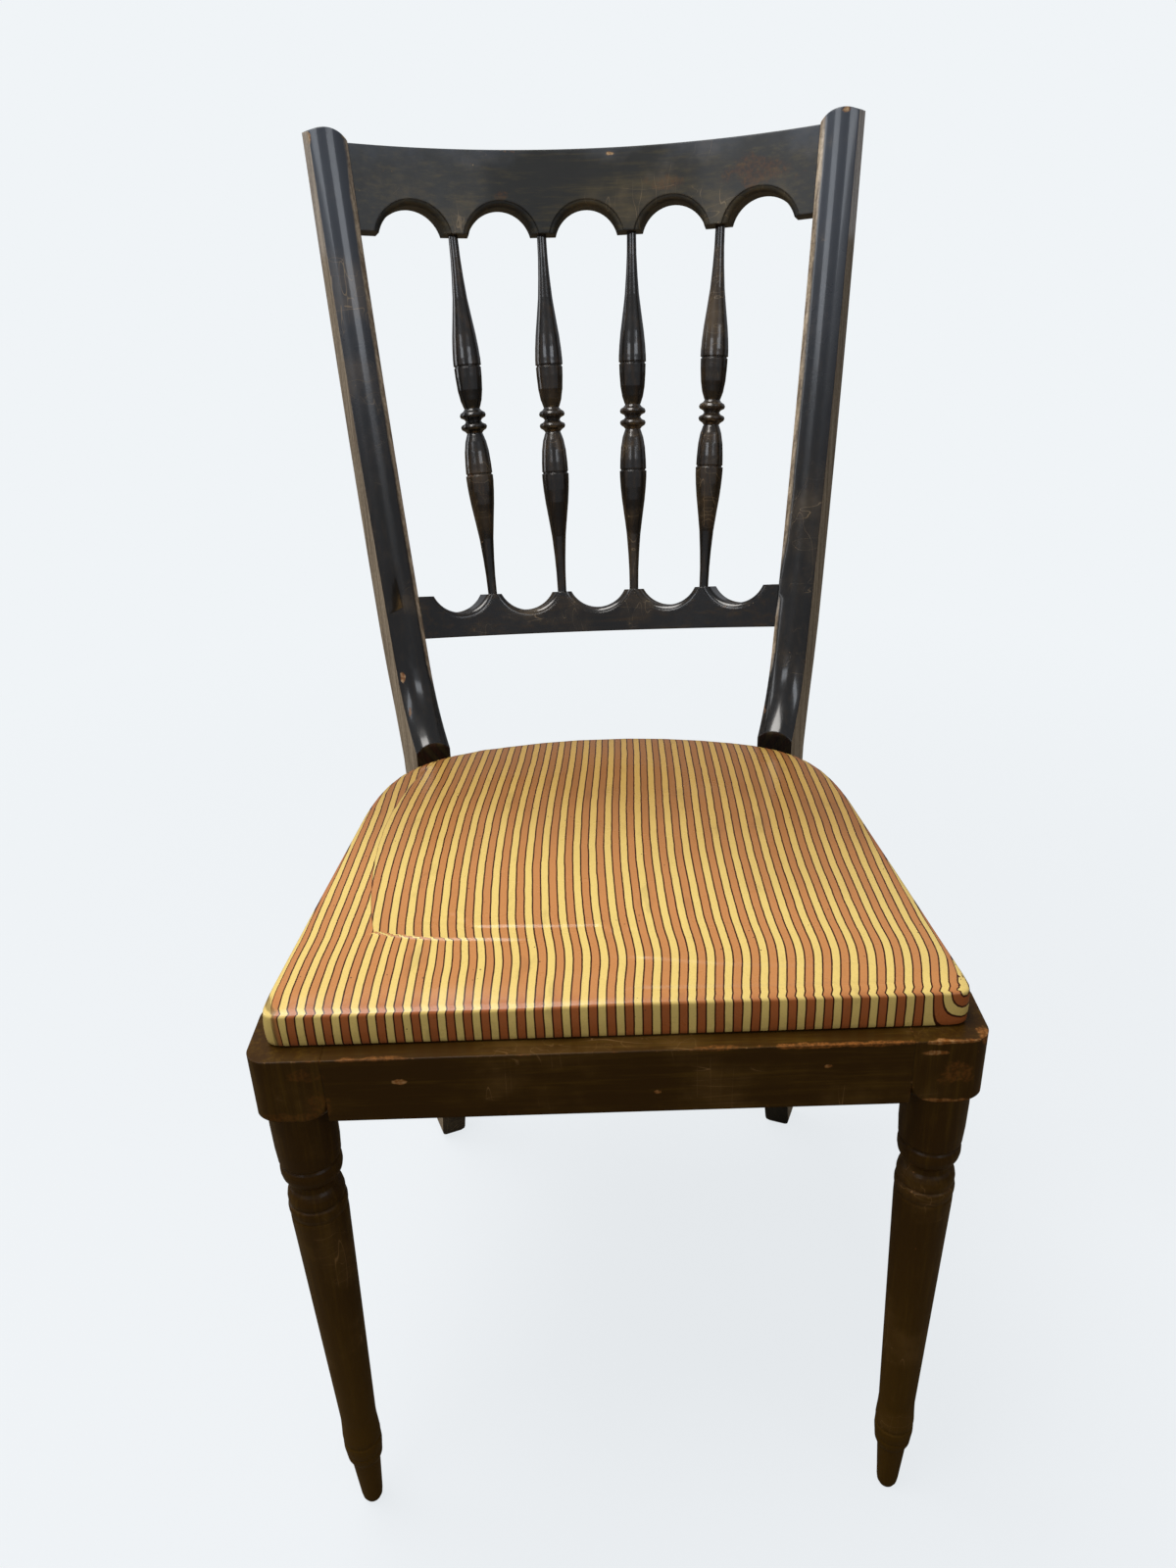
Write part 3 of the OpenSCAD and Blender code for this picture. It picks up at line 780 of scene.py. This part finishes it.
@dataclass
class Fastenings:
    """Hidden wood and steel that hold the chair together."""

    def dress(self) -> None:
        """Gives the board, blocks, dowels, screws and staples their finishes."""
        ply = BareWood("board_wood", Grain.ACROSS).make()
        block = BareWood("block_wood", Grain.BACK).make()
        steel = DullSteel("fastening_steel").make()
        dress("seat_board", ply)
        for name in ("front_left", "front_right", "back_left", "back_right"):
            dress(f"corner_block_{name}", block)
        for name in ("frame_dowels", "back_dowels"):
            dress(name, block)
        for name in ("seat_screws", "corner_block_screws", "cover_staples"):
            dress(name, steel)


def smooth(x: Array, low: float, high: float) -> Array:
    """A smooth step from 0 at low to 1 at high, which may be below low."""
    part = np.clip((x - low) / (high - low), 0.0, 1.0)
    return part * part * (3.0 - 2.0 * part)


def hill(x: Array, width: float) -> Array:
    """A bell of height 1 about zero: the exponential of minus the square of x over width."""
    return np.exp(-np.square(x / width))


def fill_mesh(name: str, points: Array, quads: Array) -> bpy.types.Object:
    """Makes a smooth mesh object at the origin.

    Args:
        name: Its name.
        points: Places, a row each, in metres.
        quads: Indices of each face's four corners, anticlockwise from outside.

    Returns:
        The object, linked to the scene.
    """
    mesh = bpy.data.meshes.new(name)
    mesh.from_pydata(points.tolist(), [], quads.tolist())
    mesh.polygons.foreach_set("use_smooth", np.ones(len(mesh.polygons), bool))
    mesh.update()
    piece = bpy.data.objects.new(name, mesh)
    bpy.context.collection.objects.link(piece)
    return piece


def set_attribute(piece: bpy.types.Object, name: str, values: Array) -> None:
    """Stores one number at each vertex.

    Args:
        piece: The object.
        name: The attribute's name.
        values: A number for each vertex.
    """
    layer = piece.data.attributes.new(name, "FLOAT", "POINT")
    layer.data.foreach_set("value", values.astype(np.float32).ravel())


@dataclass(frozen=True)
class Crease:
    """A fold line across the cover, through points in millimetres behind the front edge.

    The cover stands higher by step behind the line, and is cut or raised by depth along it.
    """

    path: tuple[tuple[float, float], ...]
    width: float
    depth: float
    step: float = 0.0
    reach: float = 8.0

    def height(self, x: Array, y: Array) -> Array:
        """The crease's height at points of the seat.

        The nearest point of each straight stretch gives a distance and a side. The height
        is depth times a bell of the distance, plus the step, which fades away behind the
        line over reach.

        Args:
            x: Across, in millimetres.
            y: Behind the leg axis, in millimetres.

        Returns:
            Millimetres to add.
        """
        best = np.full(x.shape, 1e9)
        side = np.zeros(x.shape)
        for (ax, ay), (bx, by) in zip(self.path, self.path[1:]):
            length = math.hypot(bx - ax, by - ay)
            part = np.clip(((x - ax) * (bx - ax) + (y - ay) * (by - ay)) / length ** 2, 0.0, 1.0)
            far = np.hypot(x - ax - part * (bx - ax), y - ay - part * (by - ay))
            turn = ((bx - ax) * (y - ay) - (by - ay) * (x - ax)) / length
            nearer = far < best
            best = np.where(nearer, far, best)
            side = np.where(nearer, turn, side)
        behind = smooth(side, -0.5 * self.width, 0.5 * self.width)
        return self.depth * hill(best, self.width) + self.step * behind * np.exp(-best / self.reach)


@dataclass(frozen=True)
class StripedVinyl:
    """Glossy printed vinyl cloth: pale yellow and terracotta stripes with dark borders."""

    name: str
    pitch: float = 10.02
    yellow: Colour = from_srgb(238, 208, 122)
    terracotta: Colour = from_srgb(203, 138, 82)
    # Dark printed border of the stripes; it also paints the shade lines along the folds.
    border_and_fold_shade: Colour = from_srgb(62, 24, 8)
    dirt: Colour = from_srgb(92, 66, 40)

    def make(self) -> bpy.types.Material:
        """Builds the finish.

        The place across the cloth, over the pitch, repeats from 0 to 1: the first half is
        yellow and the second terracotta. Left of the fold, the cloth under it is read from
        the second attribute, so the stripes meet the fold in a V.

        Returns:
            The material.
        """
        g = Graph(self.name)
        main = g.value("ShaderNodeAttribute", {"attribute_name": "across"}, out="Fac")
        under = g.value("ShaderNodeAttribute", {"attribute_name": "across_left"}, out="Fac")
        fold = g.value("ShaderNodeAttribute", {"attribute_name": "fold_side"}, out="Fac")
        tuck = g.value("ShaderNodeAttribute", {"attribute_name": "tuck"}, out="Fac")
        seen = g.value("ShaderNodeAttribute", {"attribute_name": "fold_shade_gate"}, out="Fac")
        place = g.object_place()
        wander = (g.noise(place, 55.0, 2.0, 0.5) - 0.5) * 0.9
        left = fold < 0.0
        across = under * left + main * (1.0 - left) + wander
        turn = (across * (1.0 / self.pitch) + 100.0).fract()
        blur = 0.012
        tan = turn.ramp(0.5 - blur, 0.5 + blur) * (1.0 - turn.ramp(1.0 - blur, 1.0))
        near = abs(turn - 0.5).min(turn.min(1.0 - turn))
        line = near.ramp(0.056, 0.036)
        speck_size = g.cells(place, 150.0)
        print_noise = g.noise(place, 900.0, 2.0, 0.6)
        broad = g.noise(place, 9.0, 3.0, 0.55)
        x, y, z = g.axes(place)
        # Painted shade with a golden tint of age: both stripe colours darker and more golden
        # towards the back and right of the seat.
        rear_shade_and_age = (y + x * 0.3 + (broad - 0.5) * 0.12).ramp(-0.17, 0.02)
        yellow = g.mix(rear_shade_and_age, self.yellow, from_srgb(194, 156, 82))
        tan_tone = g.mix(rear_shade_and_age, self.terracotta, from_srgb(154, 102, 54))
        # Painted shade: the terracotta turns darker and redder on the walls below the top.
        wall = z.ramp(mm(442), mm(438))
        tan_tone = g.mix(wall * 0.8, tan_tone, from_srgb(170, 86, 40))
        colour = g.mix(tan * (1.0 - tuck), yellow, tan_tone)
        colour = g.mix(line * (1.0 - tuck), colour, self.border_and_fold_shade)
        colour = g.mix(print_noise.ramp(0.5, 0.8) * 0.14, colour, self.dirt)
        speck = speck_size.ramp(0.10, 0.05) * g.noise(place, 31.0, 2.0, 0.5).ramp(0.55, 0.6)
        smear = g.noise(g.stretched(place, (1.0, 0.35, 1.0)), 60.0, 3.0, 0.6).ramp(0.60, 0.72)
        colour = g.mix(speck.max(smear * 0.16), colour, self.dirt)
        # Painted shade: a dark line along the long fold on the top.
        colour = g.mix(abs(fold).ramp(0.5, 0.1) * seen * 0.5, colour, self.border_and_fold_shade)
        # Painted shade: a dark line along the edges of the tucked pleat at the front left corner.
        colour = g.mix(abs(tuck - 0.5).ramp(0.4, 0.15) * 0.55, colour, self.border_and_fold_shade)
        rough = g.noise(place, 24.0, 4.0, 0.6) * 0.16 + 0.20
        weave = g.noise(place, 1400.0, 1.0, 0.4)
        ripple = g.noise(g.stretched(place, (0.5, 1.6, 1.0)), 26.0, 3.0, 0.5)
        normal = g.bump(weave * 0.12 + ripple, mm(0.75), 0.5)
        return g.surface({"Base Color": colour, "Roughness": rough, "Normal": normal,
                          "Specular IOR Level": 0.36, "Coat Weight": 0.1, "Coat Roughness": 0.1})


@dataclass(frozen=True)
class Wadding:
    """Cotton wadding of the pad."""

    name: str

    def make(self) -> bpy.types.Material:
        """Builds the finish.

        Returns:
            The material.
        """
        g = Graph(self.name)
        place = g.object_place()
        tuft = g.noise(place, 300.0, 5.0, 0.7)
        colour = g.mix(tuft.ramp(0.4, 0.7), from_srgb(226, 216, 190), from_srgb(196, 180, 146))
        return g.surface({"Base Color": colour, "Roughness": tuft * 0.1 + 0.85,
                          "Normal": g.bump(tuft, mm(1.0), 0.8)})


@dataclass
class Seat:
    """The pad and the striped cover wrapped over it and turned in under the board."""

    columns: int = 150
    front_rows: int = 92
    back_rows: int = 50
    fold_in: float = 5.0
    turn_in: float = 25.0
    wall: float = 24.0
    thickness: float = 1.1
    cloth_below: float = 1.2
    board: float = 8.0
    crown: float = 6.8
    rise: float = 1.7
    creases: tuple[Crease, ...] = (
        Crease(((-142.0, 61.0), (-130.0, 56.5), (-118.0, 54.0), (-103.0, 52.0), (-88.0, 51.0),
                (-60.0, 49.0)), 1.5, 0.35, 0.9, 12.0),
        Crease(((-97.0, 77.0), (-92.0, 71.0), (-87.0, 65.0), (-81.0, 62.0), (-59.0, 61.0),
                (-29.0, 60.0), (-8.0, 60.0), (-3.0, 56.0)), 1.1, -0.75, 1.1, 7.0),
        Crease(((-4.0, 50.0), (2.0, 54.0), (9.0, 56.0), (16.0, 53.0)), 1.5, -0.6, 0.5, 6.0),
        Crease(((41.0, 86.0), (44.0, 69.0), (44.5, 42.0)), 1.6, 0.9),
        Crease(((14.0, 2.0), (40.0, 1.2), (75.0, 1.0), (94.0, 0.4), (119.0, 0.6), (158.0, 0.4)),
               1.1, -0.8, 0.5, 6.0),
        Crease(((20.0, 27.0), (64.0, 20.0), (97.0, 17.0), (130.0, 13.5), (151.0, 10.0),
                (170.0, 8.0)), 3.5, 0.25, 1.0, 16.0),
        Crease(((-124.0, 81.0), (-104.0, 79.0), (-84.0, 76.0)), 1.6, 0.28),
        Crease(((-120.0, 75.5), (-104.0, 73.5), (-84.0, 71.0)), 1.4, 0.32),
        Crease(((-121.0, 67.5), (-104.0, 66.0), (-88.0, 64.0)), 1.5, 0.35),
        Crease(((-118.0, 45.0), (-90.0, 43.0), (-66.0, 42.0)), 1.8, 0.22),
        Crease(((60.0, 52.0), (92.0, 49.0), (118.0, 47.0)), 2.2, -0.2),
        Crease(((70.0, 60.0), (100.0, 58.0)), 2.0, -0.16),
        Crease(((-30.0, 18.0), (20.0, 14.0), (60.0, 11.0)), 3.0, 0.22),
    )
    outline: Array = field(init=False)
    middle: float = field(init=False)
    low: float = field(init=False)
    edge: float = field(init=False)
    axis_y: float = field(init=False)

    @property
    def centre(self) -> Array:
        """The seat's middle in plan."""
        return np.array([0.0, self.middle])

    @property
    def half(self) -> Array:
        """Half the seat's width and length."""
        return np.abs(self.outline - self.centre).max(0)

    def read_frame(self) -> None:
        """Takes the seat's outline from the frame's own cover.

        The outline's reach in each direction is the greatest dot product with that
        direction; the distance to the outline along a ray is the least reach over the
        cosine between the two.
        """
        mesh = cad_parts["seat_cover"].data
        places = np.empty(len(mesh.vertices) * 3, np.float32)
        mesh.vertices.foreach_get("co", places)
        places = places.reshape(-1, 3).astype(float) * 1000.0
        low, high = (np.array(c) * 1000.0 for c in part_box("seat_cover"))
        self.low, self.middle = low[2], (low[1] + high[1]) / 2.0
        self.edge = self.low + 23.0
        self.axis_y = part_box("front_rail")[0].y * 1000.0 + HALF_LEG
        flat = places[:, :2] - self.centre
        angle = np.linspace(0.0, 2.0 * np.pi, 1440, endpoint=False)
        ray = np.stack([np.cos(angle), np.sin(angle)], 1)
        reach = (flat @ ray.T).max(0)
        cosine = ray @ ray.T
        with np.errstate(divide="ignore"):
            far = np.where(cosine > 0.05, reach[:, None] / cosine, 1e9).min(0)
        self.outline = ray * far[:, None] + self.centre

    def _side(self, start: float, end: float, steps: Array) -> Array:
        """Points of the outline between two directions, evenly by length.

        Args:
            start: Direction of the first point, in degrees.
            end: Direction of the last.
            steps: Shares of the length, from 0 to 1.

        Returns:
            The points, a row each.
        """
        count = len(self.outline)
        index = np.linspace(start / 360.0 * count, end / 360.0 * count, 600)
        whole = np.arange(count + 1)
        closed = np.vstack([self.outline, self.outline[:1]])
        wrapped = np.mod(index, count)
        line = np.stack([np.interp(wrapped, whole, closed[:, k]) for k in (0, 1)], 1)
        run = np.concatenate([[0.0], np.cumsum(np.hypot(*np.diff(line, axis=0).T))])
        share = steps * run[-1]
        return np.stack([np.interp(share, run, line[:, k]) for k in (0, 1)], 1)

    def _corner_angles(self) -> tuple[float, float]:
        """Directions of the front right and back right corners, in degrees.

        A corner is the outline point that goes furthest along a slanted direction.

        Returns:
            Both directions, from the seat's middle.
        """
        flat = self.outline - self.centre
        front = flat[(flat @ np.array([0.72, -0.69])).argmax()]
        back = flat[(flat @ np.array([0.62, 0.78])).argmax()]
        return (math.degrees(math.atan2(front[1], front[0])),
                math.degrees(math.atan2(back[1], back[0])))

    def _patch(self) -> Array:
        """The grid of the top, filled from its four sides.

        A point is the blend of the front and back sides, plus the blend of the left and
        right sides, less the blend of the four corners.

        Returns:
            Plan places, rows from front to back and columns from left to right.
        """
        front_right, back_right = self._corner_angles()
        s = np.linspace(0.0, 1.0, self.columns)
        dense = 0.29
        t = np.concatenate([np.linspace(0.0, dense, self.front_rows, endpoint=False),
                            np.linspace(dense, 1.0, self.back_rows)])
        front = self._side(180.0 - front_right, 360.0 + front_right, s)
        back = self._side(180.0 - back_right, back_right, s)
        right = self._side(front_right, back_right, t)
        left = right * np.array([-1.0, 1.0])
        front = (front + front[::-1] * np.array([-1.0, 1.0])) / 2.0
        back = (back + back[::-1] * np.array([-1.0, 1.0])) / 2.0
        a, b = s[None, :, None], t[:, None, None]
        grid = (front[None] * (1 - b) + back[None] * b
                + left[:, None] * (1 - a) + right[:, None] * a
                - (front[0] * (1 - a) * (1 - b) + front[-1] * a * (1 - b)
                   + back[0] * (1 - a) * b + back[-1] * a * b))
        return self._drawn_in(grid, self.fold_in)

    def _drawn_in(self, places: Array, inset: float) -> Array:
        """Scales plan places towards the seat's middle so that the outline moves in.

        Args:
            places: Plan places.
            inset: How far the outline moves, in millimetres.

        Returns:
            The moved places.
        """
        return self.centre + (places - self.centre) * (1.0 - inset / self.half)

    @staticmethod
    def _fold_x(y: Array) -> Array:
        """Where the long fold at the left runs: two parabolas that meet furthest left."""
        return -158.0 + np.where(y < 180.0, 0.001, 0.0014) * np.square(y - 180.0)

    def _front_line(self, x: Array) -> Array:
        """Where the first crease crosses the seat, behind the leg axis."""
        return np.interp(x, *np.array(self.creases[0].path).T)

    def _top(self, plan: Array) -> Array:
        """Height of the cover's top.

        A rise over the first 30 mm from the edge, a crown over the whole, the creases, the
        lip of the long fold and the roll over the front left edge are added up.

        Args:
            plan: Plan places in the frame, in millimetres.

        Returns:
            Heights in millimetres.
        """
        x, y = plan[..., 0], plan[..., 1] - self.axis_y
        flat = plan - self.centre
        angle = np.arctan2(flat[..., 1], flat[..., 0])
        around = np.linspace(-np.pi, np.pi, 721)
        line = self.outline - self.centre
        order = np.argsort(np.arctan2(line[:, 1], line[:, 0]))
        reach = np.interp(around, np.arctan2(line[order, 1], line[order, 0]),
                          np.hypot(*line[order].T), period=2 * np.pi)
        edge = np.interp(angle, around, reach)
        radius = np.hypot(flat[..., 0], flat[..., 1])
        inward = np.clip(edge - radius, 0.0, None)
        share = np.clip(radius / edge, 0.0, 1.0)
        height = self.rise * (1.0 - np.exp(-inward / 9.0)) + self.crown * (1.0 - share ** 2.2)
        for crease in self.creases:
            height = height + crease.height(x, y)
        fold = x - self._fold_x(y)
        strength = smooth(y, 50.0, 75.0) * (1.0 - 0.6 * smooth(y, 200.0, 300.0))
        height = height + strength * np.where(
            fold > 0.0, 0.9 * np.exp(-np.abs(fold) / 9.0), -0.35 * np.exp(-np.abs(fold) / 4.0))
        left_roll = smooth(x, 10.0, -60.0) * hill(y + 6.0, 15.0)
        height = height - 1.5 * left_roll
        wave = (np.sin(x / 17.0 + y / 41.0) * np.sin(y / 23.0 + 1.3) * 0.35
                + np.sin(x / 8.3 - y / 19.0 + 0.4) * 0.10 * smooth(y, 120.0, 20.0))
        height = height + wave * smooth(inward, 2.0, 25.0)
        bump = hill(x + 98.0, 7.0) * hill(y - 341.0, 9.0)
        height = height + 3.0 * bump
        return self.edge + height

    def _across(self, plan: Array) -> tuple[Array, Array]:
        """Where the cloth's own threads lie, across the chair.

        The place across is x less a sideways shift, over 1 plus a spread. The shift is right
        near the front, left in the middle and right again at the back. The spread grows from
        nothing at the front and fades out towards the back. Left of the long fold the cloth
        is shifted steadily more to the right, up to 10 mm.

        Args:
            plan: Plan places in the frame, in millimetres.

        Returns:
            The place across for the main cloth, and for the cloth left of the fold.
        """
        x, y = plan[..., 0], plan[..., 1] - self.axis_y
        behind = np.clip(y, 0.0, None)
        shift = (3.0 * hill(y - 30.0, 25.0) - 3.0 * hill(y - 140.0, 80.0)
                 + 4.0 * smooth(y, 200.0, 350.0))
        spread = 0.045 * (1.0 - np.exp(-behind / 45.0)) * (1.0 - smooth(y, 190.0, 340.0))
        main = (x - shift) / (1.0 + spread)
        left = x - np.minimum(4.0 + 0.027 * behind, 10.0)
        front = y < self._front_line(x)
        share = smooth(x, -60.0, -142.0) * (0.6 + 0.4 * np.clip(y / 61.0, 0.0, 1.0))
        eased = main + (left - main) * share
        well_left = (x < self._fold_x(y) - 4.0) & ~front
        return (np.where(front, eased, np.where(well_left, left, main)),
                np.where(front, eased, left))

    def _rings(self) -> Array:
        """The cover's profile outside its top.

        Returns:
            Rows of how far in from the outline, share of the way down the wall, further
            drop, and length of cloth beyond the edge, in millimetres.
        """
        turn = np.linspace(0.0, np.pi / 2.0, 6)[1:]
        over = np.stack([2.6 - 2.6 * np.sin(turn), 0.0 * turn, 2.2 - 2.2 * np.cos(turn),
                         0.8 * turn], 1)
        down = np.linspace(0.12, 0.93, 8)
        wall = np.stack([-0.5 * np.sin(down * np.pi), down, 2.2 * (1 - down), self.wall * down], 1)
        under = np.linspace(0.0, np.pi / 2.0, 5)[1:]
        lower = np.stack([1.5 - 1.5 * np.cos(under), 0.93 + 0.07 * np.sin(under), 0.0 * under,
                          self.wall + under], 1)
        flange = np.linspace(4.0, self.turn_in, 6)
        tucked = np.stack([flange, np.ones(6), np.zeros(6), self.wall + flange], 1)
        return np.vstack([over, wall, lower, tucked])

    def build(self) -> None:
        self.read_frame()
        patch = self._patch()
        rows, columns = patch.shape[:2]
        height = self._top(patch)
        main, left = self._across(patch)
        index = np.arange(rows * columns).reshape(rows, columns)
        rim = np.concatenate([index[0, :-1], index[:-1, -1], index[-1, :0:-1], index[:0:-1, 0]])
        rim_plan = patch.reshape(-1, 2)[rim]
        outer = self.centre + (rim_plan - self.centre) / (1.0 - self.fold_in / self.half)
        step = np.roll(outer, -1, 0) - np.roll(outer, 1, 0)
        normal = np.stack([step[:, 1], -step[:, 0]], 1) / np.hypot(*step.T)[:, None]
        rings = self._rings()
        bottom = self.low + 0.65
        points = [np.column_stack([patch.reshape(-1, 2), height.ravel()])]
        across, under = [main.ravel()], [left.ravel()]
        outer_main, outer_left = self._across(outer)
        run = np.concatenate([[0.0], np.cumsum(np.hypot(*np.diff(outer, axis=0).T))])
        for inset, down, drop, beyond in rings:
            plan = self._drawn_in(outer, max(inset, 0.0)) - normal * min(inset, 0.0)
            top = self._top(self._drawn_in(outer, 2.0))
            wave = 0.35 * np.sin(run / 21.0) * math.sin(math.pi * min(down, 1.0))
            z = top * (1.0 - down) + bottom * down - drop
            points.append(np.column_stack([plan + normal * wave[:, None] * (down < 0.99), z]))
            across.append(outer_main + normal[:, 0] * beyond)
            under.append(outer_left + normal[:, 0] * beyond)
        points = np.vstack(points)
        quads = [np.stack([index[:-1, :-1], index[:-1, 1:], index[1:, 1:], index[1:, :-1]],
                          -1).reshape(-1, 4)]
        count, start = len(rim), rows * columns
        ring_index = np.vstack([rim] + [start + k * count + np.arange(count)
                                        for k in range(len(rings))])
        after = np.roll(ring_index, -1, 1)
        quads.append(np.stack([ring_index[:-1], ring_index[1:], after[1:], after[:-1]],
                              -1).reshape(-1, 4))
        cover = fill_mesh("striped_seat_cover", points / 1000.0, np.vstack(quads))
        x, y = points[:, 0], points[:, 1] - self.axis_y
        on_top = points[:, 2] > self.edge - 1.0
        fold = np.where(on_top & (y > self._front_line(x)), x - self._fold_x(y),
                        np.where(x < -146.0, -20.0, 20.0))
        across = np.concatenate(across)
        far = np.hypot(x - 193.5, 0.75 * (points[:, 2] - self.edge - 1.0))
        bent = smooth(x, 168.0, 190.0) * (y < 20.0) * (points[:, 2] < self.edge + 0.5)
        across = across + (193.5 - far - across) * bent
        set_attribute(cover, "across", across)
        set_attribute(cover, "across_left", np.concatenate(under))
        set_attribute(cover, "fold_side", fold)
        # Where the painted shade line along the long fold shows: on the top, from about 60 mm
        # behind the leg axis.
        set_attribute(cover, "fold_shade_gate", smooth(y, 58.0, 63.0) * on_top)
        set_attribute(cover, "tuck", smooth(x, -188.5, -191.5) * smooth(y, 14.0, 7.0)
                      * smooth(points[:, 2], self.edge + 0.5, self.edge - 1.5))
        cover.data.materials.append(StripedVinyl("striped_vinyl").make())
        shell = cover.modifiers.new("thickness", "SOLIDIFY")
        shell.thickness, shell.offset = mm(self.thickness), -1.0
        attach(cover, "root")
        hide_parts("seat_cover")
        width, depth = self.flat_size(points)
        self.flat_area(cover)
        LOG.info("cover: %d points, cloth %.3f by %.3f m", len(points), width, depth)
        self._pad()

    def flat_size(self, points: Array) -> tuple[float, float]:
        """The cloth's width and length: the seat's, with both walls and turned-in edges."""
        span = points[:, :2].max(0) - points[:, :2].min(0)
        extra = 2.0 * (self.wall + self.turn_in)
        return mm(span[0] + extra), mm(span[1] + extra)

    @staticmethod
    def flat_area(cover: bpy.types.Object) -> float:
        """The cloth's area in square metres, from its own faces."""
        areas = np.empty(len(cover.data.polygons), np.float32)
        cover.data.polygons.foreach_get("area", areas)
        return float(areas.sum())

    def _pad(self) -> None:
        """Makes the wadding: the top's shape a little lower, closed by a flat underside."""
        patch = self._patch()[::3, ::3]
        patch = self._drawn_in(patch, 1.5)
        rows, columns = patch.shape[:2]
        top = self._top(self._drawn_in(patch, 0.5)) - self.thickness - 0.6
        floor = self.low + self.cloth_below + self.board + 0.2
        index = np.arange(rows * columns).reshape(rows, columns)
        base = index + rows * columns
        high = np.column_stack([patch.reshape(-1, 2), top.ravel()])
        low = np.column_stack([patch.reshape(-1, 2), np.full(rows * columns, floor)])
        loop = np.concatenate([index[0, :-1], index[:-1, -1], index[-1, :0:-1], index[:0:-1, 0]])
        rim = high[loop]
        swell = self.centre + (rim[:, :2] - self.centre) * 1.006
        belt = np.column_stack([swell, (rim[:, 2] + floor) / 2.0])
        start = 2 * rows * columns
        belt_index = start + np.arange(len(loop))

        def sheet_of(grid: Array, up: bool) -> Array:
            """Quads of a grid, facing up or down."""
            corners = [grid[:-1, :-1], grid[:-1, 1:], grid[1:, 1:], grid[1:, :-1]]
            return np.stack(corners if up else corners[::-1], -1).reshape(-1, 4)

        def band(above: Array, below: Array) -> Array:
            """Quads between two closed loops."""
            return np.stack([above, below, np.roll(below, -1), np.roll(above, -1)], -1)

        low_loop = loop + rows * columns
        quads = np.vstack([sheet_of(index, True), sheet_of(base, False),
                           band(loop, belt_index), band(belt_index, low_loop)])
        pad = fill_mesh("seat_pad", np.vstack([high, low, belt]) / 1000.0, quads)
        pad.data.materials.append(Wadding("cotton_wadding").make())
        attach(pad, "root")
        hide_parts("seat_padding")
        LOG.info("pad: %d points", len(high) * 2 + len(belt))


def main() -> None:
    """Builds the studio, the finishes and the seat, and logs the finishes and the seat."""
    logging.basicConfig(level=logging.INFO, format="%(name)s: %(message)s")
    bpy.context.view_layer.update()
    low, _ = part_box("front_rail")
    Studio().build(low.y + mm(HALF_LEG))
    WoodFrame(low.y + mm(HALF_LEG)).dress()
    Fastenings().dress()
    Seat().build()
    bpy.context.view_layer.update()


if __name__ == "__main__":
    main()
